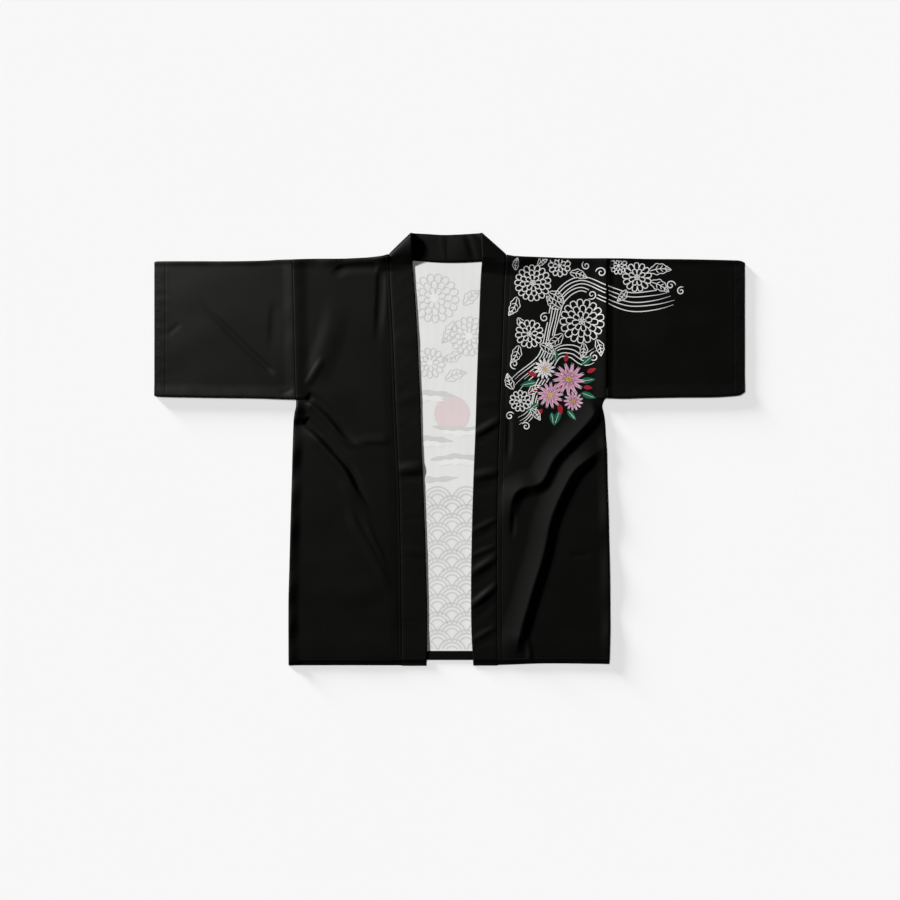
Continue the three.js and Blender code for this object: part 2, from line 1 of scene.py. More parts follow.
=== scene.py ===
# %% [markdown]
# # A kimono jacket, laid open on a pale surface
#
# The jacket is a thin black cloth with a satin sheen. It lies face up: the back is underneath, the two
# fronts lie on it, each sleeve is a flattened tube, and a doubled collar band runs up each front and
# folds over the shoulder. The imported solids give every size; this file gives the cloth its real folds,
# seams, stitching and print. Lengths are worked out in millimetres and turned to metres in the mesh.

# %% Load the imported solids
from collections import namedtuple

import bpy
import numpy as np
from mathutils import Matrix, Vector


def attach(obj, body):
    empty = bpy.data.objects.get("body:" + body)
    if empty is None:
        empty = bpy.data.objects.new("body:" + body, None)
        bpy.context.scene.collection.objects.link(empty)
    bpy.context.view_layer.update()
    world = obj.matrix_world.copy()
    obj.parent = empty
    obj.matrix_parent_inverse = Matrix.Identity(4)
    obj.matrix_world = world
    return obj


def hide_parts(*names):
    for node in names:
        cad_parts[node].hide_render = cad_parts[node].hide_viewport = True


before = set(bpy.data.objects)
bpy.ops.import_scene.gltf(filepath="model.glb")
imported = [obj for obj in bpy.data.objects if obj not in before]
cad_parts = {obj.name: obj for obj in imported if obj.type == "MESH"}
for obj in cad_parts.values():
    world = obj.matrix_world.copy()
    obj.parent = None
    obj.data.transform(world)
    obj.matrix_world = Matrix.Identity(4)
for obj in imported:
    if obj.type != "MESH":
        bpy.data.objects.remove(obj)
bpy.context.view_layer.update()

# %% [markdown]
# ## The cut
# The outline is a handful of tables, the same ones that the solids are built from. Each row is a
# section of the garment, and a smooth curve through the rows gives every size in between. Left and
# right in a table's columns are as seen from above, so the wearer's right front is on the left.

# %% Tables of the outline, in millimetres
BODY_SIDES = np.array([  # y, left, right
    (-375, -278.9, 277.0), (-312, -279.1, 278.4), (-260, -279.0, 278.5), (-200, -277.4, 277.5),
    (-132, -275.6, 276.1), (-63, -273.6, 274.0), (-8, -272.1, 272.8), (20, -271.3, 270.9),
    (48, -270.2, 269.4), (62, -268.5, 267.3), (75, -265.9, 264.6), (84, -265.7, 266.9), (92, -265.9, 270.9),
])
ARMHOLE = np.array([(92, -265.9, 270.9), (332, -271.4, 272.6)])  # y, left, right
SHOULDER = np.array([  # x, y
    (-272, 329.2), (-241, 330.3), (-190, 330.5), (-158, 331.7), (-138, 333.0), (-117, 335.5), (-105, 338.3),
    (99, 337.4), (112, 335.3), (163, 333.2), (205, 331.5), (273, 331.2),
])
FRONT_HEM = np.array([  # x, y
    (-279, -373.4), (-75, -373.6), (-40, -375.0), (40, -374.2), (90, -372.8), (165, -370.3), (277, -371.2),
])
NECKLINE = np.array([  # x, y
    (-105, 336.2), (-88, 329.0), (-66, 327.2), (-4.5, 323.6), (58, 325.8), (82, 329.0), (99, 335.6),
])
NECK_TOP = np.array([(-70, 374.4), (-44, 373.4), (-12, 371.5), (8, 371.9), (28, 372.9), (56, 374.6)])  # x, y
COLLAR_RIGHT = np.array([  # y, seam, free edge
    (-375, -82.9, -39.8), (-295, -83.2, -38.8), (-215, -84.1, -40.3), (-122, -85.8, -43.3),
    (-53, -87.5, -45.7), (16, -90.7, -48.8), (86, -93.9, -50.7), (157, -96.4, -54.0),
    (214, -99.0, -56.6), (259, -101.4, -59.5), (298, -103.6, -62.2), (340, -105.7, -65.8),
])
COLLAR_LEFT = np.array([  # y, seam, free edge
    (-375, 83.7, 41.0), (-312, 82.5, 37.6), (-226, 82.0, 37.0), (-122, 82.5, 38.9), (-53, 83.7, 41.0),
    (34, 86.3, 44.5), (103, 88.9, 46.5), (158, 90.7, 48.4), (214, 92.7, 50.5), (255, 94.1, 51.9),
    (297, 95.8, 53.7), (340, 98.8, 57.2),
])
SLEEVE_RIGHT = np.array([  # x, top, low
    (-510.5, 324.6, 92.6), (-507, 325.7, 91.3), (-450, 326.0, 89.9), (-377, 326.0, 88.8),
    (-325, 326.9, 88.0), (-294, 328.6, 86.8), (-266, 329.2, 86.3),
])
SLEEVE_LEFT = np.array([  # x, top, low
    (271, 331.2, 88.7), (300, 331.0, 87.8), (340, 330.0, 88.8), (402, 329.5, 89.9), (454, 328.6, 90.2),
    (490, 327.6, 92.2), (503, 326.8, 94.4), (510.5, 323.6, 99.0),
])
BACK_HEM, HEM_DEPTH, CUFF, CENTRE_BACK = -364.3, 16.0, 510.5, -4.5
UNDERARM = 92  # the y where the side seam ends and the armhole seam starts
CLOTH, GAP, AIR = 1.2, 0.3, 2.6  # one layer of the solids, their clearance, and how loosely a layer lies
ON_BACK = CLOTH + GAP


def along(rows, column, at):
    """The table's column read at `at`: a cubic through each pair of rows, whose slope at a row is that
    of the line between its two neighbours."""
    key, value = rows[:, 0], rows[:, column]
    before, after = np.maximum(np.arange(len(key)) - 1, 0), np.minimum(np.arange(len(key)) + 1, len(key) - 1)
    slope = (value[after] - value[before]) / (key[after] - key[before])
    i = np.clip(np.searchsorted(key, at, side="right") - 1, 0, len(key) - 2)
    step = key[i + 1] - key[i]
    t = np.clip((at - key[i]) / step, 0, 1)
    return ((2 * t**3 - 3 * t**2 + 1) * value[i] + (t**3 - 2 * t**2 + t) * step * slope[i]
            + (3 * t**2 - 2 * t**3) * value[i + 1] + (t**3 - t**2) * step * slope[i + 1])


def smooth(v):
    """An S-shaped step: 0 up to v = 0, 1 from v = 1, level at both ends."""
    v = np.clip(v, 0, 1)
    return v * v * (3 - 2 * v)


def side_edge(y, column):
    """The body's outer edge: the side seam up to the underarm, then the straight armhole seam."""
    low, top = ARMHOLE
    straight = low[column] + (top[column] - low[column]) * (y - low[0]) / (top[0] - low[0])
    return np.where(y < UNDERARM, along(BODY_SIDES, column, y), straight)


print("span", 2 * CUFF, "mm, length", along(NECK_TOP, 1, -70.0) - FRONT_HEM[2][1], "mm")

# %% [markdown]
# ## Folds
# A fold is a rounded ridge or trough along a curved line, and it spreads by a different distance on
# each side, because cloth that is pushed along a table leans over. The large folds are in the solids
# too; the small ones are added here. They could come from a cloth simulation, but then they would fall
# where they liked. Placing them one by one puts them where the photo shows them.

# %% Fold lines and their heights
Fold = namedtuple("Fold", "height left right line ends sharp", defaults=[(0.22, 0.3), False])


def spline(points, per_step=8):
    """A smooth curve through the points: on each stretch, the cubic with the neighbours' slopes."""
    p = np.asarray(points, float)
    padded = np.vstack([2 * p[0] - p[1], p, 2 * p[-1] - p[-2]])
    t = np.linspace(0, 1, per_step, endpoint=False)[:, None]
    a, b, c, d = (padded[k:len(p) - 1 + k, None] for k in range(4))
    t = t[None]
    curve = 0.5 * (2 * b + (c - a) * t + (2 * a - 5 * b + 4 * c - d) * t**2 + (3 * b - a - 3 * c + d) * t**3)
    return np.vstack([curve.reshape(-1, p.shape[1]), p[-1:]])


def hump(away):
    """A round bump: half of 1 + cos(pi times the share of its spread), 1 in the middle, 0 from 1 on."""
    return 0.5 * (1 + np.cos(np.pi * np.minimum(away, 1)))


def fold_height(folds, x, y):
    """The sum of all folds at each place: height times half of 1 + cos(pi times the distance from the
    line over the spread), or for a sharp crest, height times (1 - that share) to the power 1.4. A spread
    is one number, or two for the line's start and end; `ends` are the shares of the line over which the
    height comes and goes."""
    total = np.zeros_like(x)
    for fold in folds:
        path = spline(fold.line)
        spread = np.max([np.max(fold.left), np.max(fold.right)])
        low, high = path.min(0) - spread, path.max(0) + spread
        near = (x > low[0]) & (x < high[0]) & (y > low[1]) & (y < high[1])
        if not near.any():
            continue
        px, py = x[near], y[near]
        start, run = path[:-1], np.diff(path, axis=0)
        walked = np.concatenate([[0], np.cumsum(np.hypot(*run.T))])
        best = np.full(px.shape, np.inf)
        share, on_left = np.zeros_like(px), np.zeros(px.shape, bool)
        for k, ((sx, sy), (rx, ry)) in enumerate(zip(start, run)):
            t = np.clip(((px - sx) * rx + (py - sy) * ry) / (run[k] @ run[k]), 0, 1)
            ox, oy = px - sx - t * rx, py - sy - t * ry
            distance = np.hypot(ox, oy)
            closer = distance < best
            best = np.where(closer, distance, best)
            share = np.where(closer, (walked[k] + t * (walked[k + 1] - walked[k])) / walked[-1], share)
            on_left = np.where(closer, rx * oy - ry * ox > 0, on_left)
        sides = [np.interp(share, [0, 1], np.broadcast_to(side, 2)) for side in (fold.left, fold.right)]
        wide = np.where(on_left, *sides)
        fade = smooth(share / fold.ends[0]) * smooth((1 - share) / fold.ends[1])
        away = np.minimum(best / wide, 1)
        total[near] += fold.height * fade * ((1 - away) ** 1.4 if fold.sharp else hump(away))
    return total


def swell(x, y, wavelength, seed, waves=5):
    """A gentle unevenness between -1 and 1: five waves that cross in different directions."""
    rng = np.random.default_rng(seed)
    total = np.zeros_like(x)
    drawn = [rng.uniform(*limits, waves) for limits in ((0, np.pi), (0, 2 * np.pi), (0.6, 1.6))]
    for angle, phase, stretch in zip(*drawn):
        way = x * np.cos(angle) + y * np.sin(angle)
        total = total + np.sin(2 * np.pi * stretch * way / wavelength + phase)
    return total / waves


def resting(v):
    """v where it is above zero, turning softly to zero where a trough would sink into the layer below;
    0.27 takes off what the softening adds at zero."""
    return 0.5 * (v + np.sqrt(v * v + 0.3)) - 0.27


UNDERARM_CREASE = [
    (-253, 50), (-245, 42), (-226, 24), (-205, 1), (-184, -22), (-171, -40), (-158, -66), (-142, -90),
    (-126, -112),
]
UPPER_CREASE = [(-250, 90), (-232, 80), (-216, 66), (-201, 50), (-186, 31), (-169, 17), (-140, 11)]
FRONT_RIGHT_FOLDS = [
    # the crease from the underarm to the middle of the front, sharp on its upper right side
    Fold(8.6, (9, 12), (28, 36), UNDERARM_CREASE, (0.22, 0.5)),
    Fold(-11.5, (14, 12), (6.5, 7.5), UNDERARM_CREASE, (0.02, 0.45), True),
    Fold(5.4, (9, 9), (26, 18), UPPER_CREASE, (0.12, 0.45)),
    Fold(-8.0, (16, 14), (7, 7), UPPER_CREASE, (0.06, 0.4), True),
    Fold(1.5, 16, 8, [(-176, 20), (-150, 15), (-118, 14), (-98, 16)], (0.5, 0.25)),
    # below it, and beside the armhole and the collar
    Fold(1.9, 9, 16, [(-178, -84), (-164, -126), (-141, -165), (-96, -255)], (0.3, 0.3)),
    Fold(1.4, 7, 10, [(-152, -100), (-138, -140), (-116, -190), (-104, -230)], (0.4, 0.4)),
    Fold(2.6, 34, 24, [(-194, 276), (-212, 190), (-244, 108)], (0.5, 0.25)),
    Fold(1.8, 12, 8, [(-214, 166), (-232, 138), (-250, 108)], (0.4, 0.2)),
    Fold(-2.8, 14, 9, [(-119, 316), (-121, 262), (-126, 176)], (0.15, 0.5)),
    Fold(-3.6, 7, 16, [(-206, 300), (-181, 316), (-122, 319)], (0.3, 0.1)),
    Fold(0.9, 34, 34, [(-252, -226), (-180, -250), (-100, -236)], (0.3, 0.3)),
]
FRONT_LEFT_FOLDS = [
    # two tall folds that run down from the underarm, steep on their lower right side
    Fold(8.5, (16, 18), (34, 30), [
        (266, 80), (236, 43), (206, 11), (181, -17), (164, -50), (151, -61), (127, -66), (112, -79),
        (105, -104), (103, -150)], (0.06, 0.3), True),
    Fold(9.0, (16, 18), (33, 34), [
        (274, 10), (235, -20), (216, -37), (201, -62), (183, -100), (173, -130), (166, -165), (157, -200),
        (146, -235), (136, -269), (127, -300), (119, -331), (113, -362)], (0.14, 0.1), True),
    Fold(-3.0, 9, 6, [(101, 76), (101.5, 30), (100, -26)], (0.35, 0.4)),
    Fold(-1.8, 8, 6, [(110, -104), (110, -128), (108, -156)], (0.3, 0.4)),
    Fold(-0.8, 10, 5, [(205, -182), (226, -184), (248, -182)], (0.3, 0.3)),
    Fold(2.2, 8, 7, [(132, -326), (137, -345), (139, -369)]),
    Fold(1.2, 30, 34, [(180, 60), (160, 120), (176, 240)], (0.4, 0.4)),
]
SLEEVE_RIGHT_FOLDS = [
    Fold(-3.4, 9, 9, [(-436, 268), (-417, 240), (-386, 209), (-356, 179), (-334, 159), (-300, 128)],
         (0.5, 0.12), True),
    Fold(-1.1, 20, 10, [(-303, 262), (-306, 220), (-308, 160)], (0.3, 0.5)),
    Fold(-0.9, 6, 6, [(-296, 96), (-280, 100), (-270, 108)]),
    Fold(-0.8, 9, 6, [(-490, 196), (-474, 210), (-462, 222)], (0.3, 0.4)),
]
SLEEVE_LEFT_FOLDS = [
    Fold(1.4, 40, 48, [(300, 214), (390, 208), (500, 218)], (0.4, 0.4)),
    Fold(-0.9, 9, 9, [(284, 100), (300, 98), (330, 100)]),
]
print("folds:", len(FRONT_RIGHT_FOLDS + FRONT_LEFT_FOLDS + SLEEVE_RIGHT_FOLDS + SLEEVE_LEFT_FOLDS))

# %% [markdown]
# ## Shader maths
# A finish here is a set of formulas on the place of a point. Blender writes those as nodes, one per
# operation. The small class below wraps a node's socket so that an ordinary Python expression such as
# `patches * 0.7 + flecks * 0.3` adds the Math nodes by itself, and `node` makes any other node in a line.

# %% A class for shader expressions
class Shade:
    """One socket of a material's node tree, with arithmetic."""

    def __init__(self, tree, socket):
        self.tree, self.socket = tree, socket

    def node(self, kind, inputs=(), output=0, **settings):
        """A node of the kind, its settings first, then the values or links of its sockets."""
        made = self.tree.nodes.new("ShaderNode" + kind)
        for name, value in settings.items():
            setattr(made, name, value)
        for key, value in dict(inputs).items():
            if isinstance(value, Shade):
                self.tree.links.new(value.socket, made.inputs[key])
            else:
                made.inputs[key].default_value = value
        return Shade(self.tree, made.outputs[output])

    def math(self, operation, *values):
        return self.node("Math", dict(enumerate(values)), operation=operation)

    def __add__(self, other):
        return self.math("ADD", self, other)

    def __mul__(self, other):
        return self.math("MULTIPLY", self, other)

    __radd__, __rmul__ = __add__, __mul__

    def noise(self, scale, detail):
        """Cloudy noise over the place that this socket gives."""
        return self.node("TexNoise", {"Vector": self, "Scale": scale, "Detail": detail})

    def between(self, dark, light):
        """The colour between two whose share of the second is this socket."""
        return self.node("Mix", {0: self, 6: (*dark, 1), 7: (*light, 1)}, output=2, data_type="RGBA")


def finish_named(name, roughness, **constants):
    """A new material: its Principled shader's node, and a Shade for the Object coordinates."""
    material = bpy.data.materials.new(name)
    material.use_nodes = True
    tree = material.node_tree
    shader = tree.nodes["Principled BSDF"]
    shader.inputs["Roughness"].default_value = roughness
    for socket, value in constants.items():
        shader.inputs[socket.replace("_", " ")].default_value = value
    place = Shade(tree, tree.nodes.new("ShaderNodeTexCoord").outputs["Object"])
    return material, shader, place


def feed(shader, **sockets):
    for socket, shade in sockets.items():
        shade.tree.links.new(shade.socket, shader.inputs[socket.replace("_", " ")])


# %% [markdown]
# ## Black cloth
# The cloth is a fine polyester weave, nearly black, that catches a soft light on every slope. Threads
# run along and across, about two to the millimetre, so a bump of two crossing waves at that scale gives
# the grain, and slow noise makes the colour and gloss uneven, as dyed cloth is.

# %% The black cloth's material
def cloth_finish(name, dark, light, roughness, level, grain=0.05):
    """Colour between dark and light by slow noise; bump from warp, weft and a faint crumple."""
    material, shader, place = finish_named(name, roughness, IOR=1.45, Specular_IOR_Level=level)
    patches, flecks = place.noise(14.0, 3.0), place.noise(900.0, 1.0)
    weft, warp = (place.node("TexWave", {"Vector": place, "Scale": 320.0, "Distortion": 0.6}, output=1,
                             bands_direction=axis) for axis in "YX")
    height = (weft + warp) * 0.3 + place.noise(60.0, 4.0) * 1.2
    bump = place.node("Bump", {"Height": height, "Strength": grain * 4, "Distance": 0.0004})
    colour = (patches * 0.7 + flecks * 0.3).between(dark, light)
    feed(shader, Base_Color=colour, Roughness=patches * 0.16 + (roughness - 0.08), Normal=bump)
    return material


black = cloth_finish("black_cloth", (0.0013, 0.0013, 0.00117), (0.0024, 0.0024, 0.0021), 0.56, 0.066)
print("material:", black.name)

# %% [markdown]
# ## A surface from two parameters
# Every panel below is a grid of points. `cloth_piece` puts such a grid into a mesh, and can close it on
# itself. A Solidify modifier then gives the cloth its thickness inwards, so the outer face stays exactly
# where the formula puts it.

# %% From a grid of points to a piece
def grid_faces(rows, columns, round_columns=False):
    """The four corners of each patch, as indices into the flattened grid."""
    index = np.arange(rows * columns).reshape(rows, columns)
    if round_columns:
        index = np.hstack([index, index[:, :1]])
    return np.stack([index[:-1, :-1], index[:-1, 1:], index[1:, 1:], index[1:, :-1]], -1).reshape(-1, 4)


def mesh_piece(name, points, faces, material, slot=None):
    """A smooth piece from points in millimetres and faces of four corners. One with a slot is part of
    the jacket and rides on its body."""
    mesh = bpy.data.meshes.new(name)
    faces = np.asarray(faces)
    mesh.vertices.add(len(points))
    mesh.vertices.foreach_set("co", (np.asarray(points, float) / 1000).ravel())
    mesh.loops.add(faces.size)
    mesh.loops.foreach_set("vertex_index", faces.ravel().astype(np.int32))
    mesh.polygons.add(len(faces))
    mesh.polygons.foreach_set("loop_start", np.arange(0, faces.size, faces.shape[1], dtype=np.int32))
    mesh.polygons.foreach_set("use_smooth", np.ones(len(faces), bool))
    mesh.materials.append(material)
    mesh.update(calc_edges=True)
    mesh.validate()
    piece = bpy.data.objects.new(name, mesh)
    bpy.context.scene.collection.objects.link(piece)
    if slot:
        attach(piece, "root")
    return piece


def cloth_piece(name, grid, material, slot="black_cloth", thickness=0.5, flip=False, round_columns=False):
    """A shell on a grid of points (rows, columns, 3), thickened inwards by Solidify."""
    rows, columns = grid.shape[:2]
    faces = grid_faces(rows, columns, round_columns)
    if flip:
        faces = faces[:, ::-1]
    piece = mesh_piece(name, grid.reshape(-1, 3), faces, material, slot)
    if thickness:
        shell = piece.modifiers.new("thickness", "SOLIDIFY")
        shell.thickness, shell.offset = thickness / 1000, -1
    low, high = grid[..., 2].min(), grid[..., 2].max()
    print(f"{name}: {rows} x {columns} points, height {low:.1f} to {high:.1f} mm")
    return piece


ROLLED = (0, 0.12, 0.4, 0.9, 1.7)  # distances in from a rolled edge, in millimetres


def spaced(length, step, start=ROLLED, end=ROLLED[::-1]):
    """Places from 0 to 1 along a length: close together over the rolled edges, even in between."""
    first, last = start[-1] if start else 0, length - (end[0] if end else 0)
    middle = np.linspace(first, last, max(2, int(round((last - first) / step)) + 1))
    whole = np.concatenate([start[:-1], middle, [length - e for e in end[1:]]])
    return whole / length


def roll(distance, radius):
    """How full an edge is at a distance in from it: a quarter round, 0 at the edge, 1 from the radius."""
    t = np.clip(distance / radius, 0, 1)
    return np.sqrt(1 - (1 - t) ** 2)


# %% [markdown]
# ## Seams
# A seam shows in three ways: the layers sewn into it stand up as a soft rim, the cloth beside it puckers
# in short waves, and the row of stitches pulls in a groove. Each is one formula of the distance from
# the seam, shared by the fronts, the sleeves, the collar and the hem.

# %% Rims, puckers and grooves
def rim(height, uneven, x, y, wavelength, seed, distance, width):
    """A raised edge: its height, made uneven along the seam, fading to nothing over the width."""
    return (height + uneven * swell(x, y, wavelength, seed)) * (1 - smooth(distance / width))


def pucker(height, x, y, wavelength, seed, distance, reach):
    """Short waves across a seam, times e to the power of minus the distance over the reach."""
    return height * swell(x, y, wavelength, seed) * np.exp(-distance / reach)


def bell(height, distance, width):
    """A bell curve: height times e to the power of minus the square of the distance over the width."""
    return height * np.exp(-(distance / width) ** 2)


# %% [markdown]
# ## The fronts
# Each front is one sheet: height is a function of the place on the plan. It lies loosely on the back,
# is held down at its seams, climbs over the back's turned-up hem and rises steeply to the neck. At the
# side and the shoulder the cloth turns down to the table, where it meets the back.

# %% The height of a front at any place
Front = namedtuple("Front", "hand column collar folds seed stitch side_rim bunch")
FRONTS = {
    "front_right": Front(-1, 1, COLLAR_RIGHT, FRONT_RIGHT_FOLDS, 3, 5.0, 4.4, 7.5),
    "front_left": Front(1, 2, COLLAR_LEFT, FRONT_LEFT_FOLDS, 8, 8.0, 2.6, 0.0),
}
HEM_STITCH = 12.0  # how far the row of stitches is from the hem; a front's `stitch` is the one at its seam
# for each front's hand: the y over which the collar's free edge, and its seam, climb to the neck
NECK_CLIMB = {-1: ((320, 348), (309, 331)), 1: ((306, 332), (302, 324))}
FREE_EDGE, SEAM = 0, 1


def climb(y, hand, edge):
    """How far up its straight climb the free edge or the seam is: 0 below it, 1 above."""
    start, end = NECK_CLIMB[hand][edge]
    return np.clip((y - start) / (end - start), 0, 1)


def past_back(y):
    """How far a layer has dropped to the table past the back's hem: 0 on the back, 1 below it."""
    return smooth((BACK_HEM - 0.4 - y) / 3.3)


def laid_underside(y):
    """Lies on the back, is lifted over the back's turned-up hem, and drops to the table past its edge."""
    lift = 1.3 * smooth((-306 - y) / 40)
    return (ON_BACK + lift) * (1 - past_back(y))


def front_height(front, x, y):
    """The outer face: the layer below, plus looseness and folds that fade at the seams, plus the neck's
    rise, small puckers along seams, and the dents of stitching."""
    edge, seam, seed = side_edge(y, front.column), along(front.collar, 1, y), front.seed
    from_side, from_seam = np.abs(x - edge), np.abs(x - seam)
    from_shoulder, from_hem = along(SHOULDER, 1, x) - y, y - along(FRONT_HEM, 1, x)
    free = (smooth(from_side / 20) * smooth(from_seam / 12) * smooth(from_shoulder / 20)
            * smooth((from_hem + 4) / 16))
    neck = bell(9.5 * climb(y, front.hand, SEAM), from_seam, 34) * smooth(from_shoulder / 4 + 0.35)
    # the rims stand up at the armhole, the side and the shoulder, and the cloth is bunched under the arm
    raised = np.where(y > 88, rim(3.8, 0.8, x * 0.3, y, 80, seed + 8, from_side, 27), 0)
    side = rim(front.side_rim, 1.1 * front.side_rim, x * 0.3, y, 70, seed + 6, from_side, 20)
    raised += side * smooth((34 - y) / 40)
    raised += front.bunch * (1 - smooth(from_side / 22)) * smooth((y - 40) / 14) * smooth((96 - y) / 26)
    raised += rim(3.2, 1.8, x, y * 0.3, 60, seed + 7, from_shoulder, 19)
    folds = fold_height(front.folds, x, y) * free + 0.5 * swell(x, y, 120, seed) * free
    seam_hold = 0.55 + 0.45 * smooth(from_seam / 22)
    hem_hold = 0.75 + 0.25 * smooth((from_hem + 2) / 14)
    loft = resting(AIR * seam_hold * hem_hold + folds) + neck + raised
    top = laid_underside(y) + loft * (1 - 0.5 * past_back(y)) + CLOTH
    small = pucker(0.22, x * 0.35, y, 17, seed + 1, from_side, 9)
    small += pucker(0.16, x * 0.3, y, 13, seed + 2, from_seam, 6)
    small += pucker(0.2, x, y * 0.3, 15, seed + 4, np.abs(from_hem - HEM_STITCH), 8)
    small += pucker(0.3, x, y * 0.3, 22, seed + 5, from_shoulder, 10)
    stitched = bell(0.28, from_seam - front.stitch, 0.9) + bell(0.32, from_hem - HEM_STITCH, 1.0)
    return top + small * smooth(from_side / 2) * smooth(from_hem / 3) - stitched


def front_grid(front, wide=190, long=706):
    """Rows run up from the hem, columns in from the side; each edge is rolled down over its radius."""
    by_seam = 1 - (front.stitch + np.array([-1.4, -0.6, 0, 0.6, 1.4])) / wide
    by_hem = (HEM_STITCH + np.array([-1.5, -0.7, 0, 0.7, 1.5])) / long
    u, v = np.meshgrid(np.union1d(spaced(wide, 2.5), by_seam), np.union1d(spaced(long, 2.6), by_hem))
    x = front.hand * (272 - 178 * u)
    for _ in range(3):  # the hem and shoulder depend a little on x, and the side and seam on y
        hem, shoulder = along(FRONT_HEM, 1, x), along(SHOULDER, 1, x)
        y = hem + (shoulder - hem) * v
        edge, seam = side_edge(y, front.column), along(front.collar, 1, y)
        x = edge + (seam - edge) * u
    z = front_height(front, x, y)
    table, lowest = 0.12, 0.1
    at_arm = smooth((y - 84) / 6)
    low = table * (1 - at_arm) + (z - 1.0) * at_arm
    z = z - (z - low) * (1 - roll(np.abs(x - edge), 1.7 + 0.8 * (1 - at_arm)))
    z = z - (z - table) * (1 - roll(shoulder - y, 2.4))
    z = z - 0.9 * (1 - roll(np.abs(x - seam), 1.3))
    z = z - 0.75 * (1 - roll(y - hem, 0.9))
    return np.stack([x, y, np.maximum(z, lowest)], -1)


fronts = {}
for which, front in FRONTS.items():
    fronts[which] = cloth_piece(which + "_cloth", front_grid(front), black, flip=front.hand > 0)
    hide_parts(which)

# %% [markdown]
# ## The sleeves
# A sleeve is a wide tube pressed flat: a fold along its top, a seam along its bottom, and open at the
# cuff. One ring of points runs over the upper layer and back under the lower one, and the rings are
# carried from the armhole to the cuff. Next to the cuff's stitched hem the cloth puckers.

# %% Sleeves as flattened tubes
Sleeve = namedtuple("Sleeve", "hand column edges folds seed rim")
SLEEVES = {
    "sleeve_right": Sleeve(-1, 1, SLEEVE_RIGHT, SLEEVE_RIGHT_FOLDS, 21, 21),
    "sleeve_left": Sleeve(1, 2, SLEEVE_LEFT, SLEEVE_LEFT_FOLDS, 27, 12),
}
CUFF_STITCH = 19.0


def sleeve_height(sleeve, x, y):
    """The upper layer's outer face, with its folds, the cuff's hem and puckers, and the fading at edges."""
    seed, armhole = sleeve.seed, side_edge(np.maximum(y, UNDERARM), sleeve.column)
    from_armhole, from_cuff = np.abs(x - armhole), CUFF - np.abs(x)
    from_fold, from_seam = along(sleeve.edges, 1, x) - y, y - along(sleeve.edges, 2, x)
    free = smooth(from_fold / 20) * smooth(from_seam / 18) * smooth(from_armhole / 10)
    mouth = 0.8 * free * (1 - smooth(from_cuff / 30))
    folds = fold_height(sleeve.folds, x, y) * free + 0.45 * swell(x, y, 110, seed) * free
    raised = rim(2.2, 1.4, x, y * 0.3, 70, seed + 5, from_fold, 10)
    raised += rim(3.0, 0.4, x, y * 0.3, 60, seed + 7, from_seam, 26)
    raised += rim(2.8, 0.8, x * 0.3, y, 80, seed + 8, from_armhole, sleeve.rim)
    held = 0.75 + 0.25 * smooth(from_armhole / 20)
    height = ON_BACK + resting(AIR * held + folds) + mouth + raised + CLOTH
    small = pucker(0.4, x * 0.45, y, 19, seed + 1, np.abs(from_cuff - 14), 11)
    small += bell(0.8 * swell((y - np.abs(x)) * 0.7, y, 15, seed + 6), from_cuff, 9)
    small += pucker(0.25, x, y * 0.35, 18, seed + 2, from_seam, 8)
    small += pucker(0.3, x, y * 0.35, 26, seed + 3, from_fold, 9)
    small += pucker(0.15, x * 0.3, y, 14, seed + 4, from_armhole, 7)
    fading = smooth(from_fold / 4) * smooth(from_seam / 4) * smooth(from_cuff / 3)
    return height + small * fading - bell(0.35, from_cuff - CUFF_STITCH, 1.0)


def sleeve_grid(sleeve, wide=238, long=240):
    """Rows go from the armhole to the cuff; each row is a ring that starts at the lower edge."""
    over, under = spaced(wide, 2.5), np.linspace(1, 0, 34)[1:-1]
    ring = np.concatenate([over, under])
    is_under = np.arange(len(ring)) >= len(over)
    outward = spaced(long, 2.6, start=(0, 0.3, 0.8, 1.5), end=(1.2, 0.5, 0))
    by_cuff = 1 - (CUFF_STITCH + np.array([-1.6, -0.8, 0, 0.8, 1.6])) / long
    u, v = np.meshgrid(ring, np.union1d(outward, by_cuff))
    x = sleeve.hand * (272 + 238.5 * v)
    for _ in range(3):
        top, low = along(sleeve.edges, 1, x), along(sleeve.edges, 2, x)
        y = low + (top - low) * u
        armhole = side_edge(np.maximum(y, UNDERARM), sleeve.column)
        x = armhole + (sleeve.hand * CUFF - armhole) * v
    middle, lowest = 1.3, 0.08
    from_edge = np.minimum(top - y, y - low)
    full = roll(from_edge, 2.4)
    z = middle + (sleeve_height(sleeve, x, y) - middle) * full
    z = z - 1.0 * (1 - roll(np.abs(x - armhole), 1.5)) * full
    bottom = middle - (middle - lowest) * roll(from_edge, 6)
    return np.stack([x, y, np.where(is_under[None, :], bottom, z)], -1)


sleeves = {}
for which, sleeve in SLEEVES.items():
    sleeves[which] = cloth_piece(which + "_cloth", sleeve_grid(sleeve), black, flip=sleeve.hand > 0,
                                 round_columns=True)
    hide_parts(which)

# %% [markdown]
# ## The collar
# The band is the cloth folded double. It lies on each front, and near the neck it stands up and rolls
# over the shoulder along a slanting line, so that its upper face becomes its lower one along the back
# neck. Two rails, its free edge and its sewn edge, are carried through that turn with the direction of
# its thickness, and a closed section is swept between them.

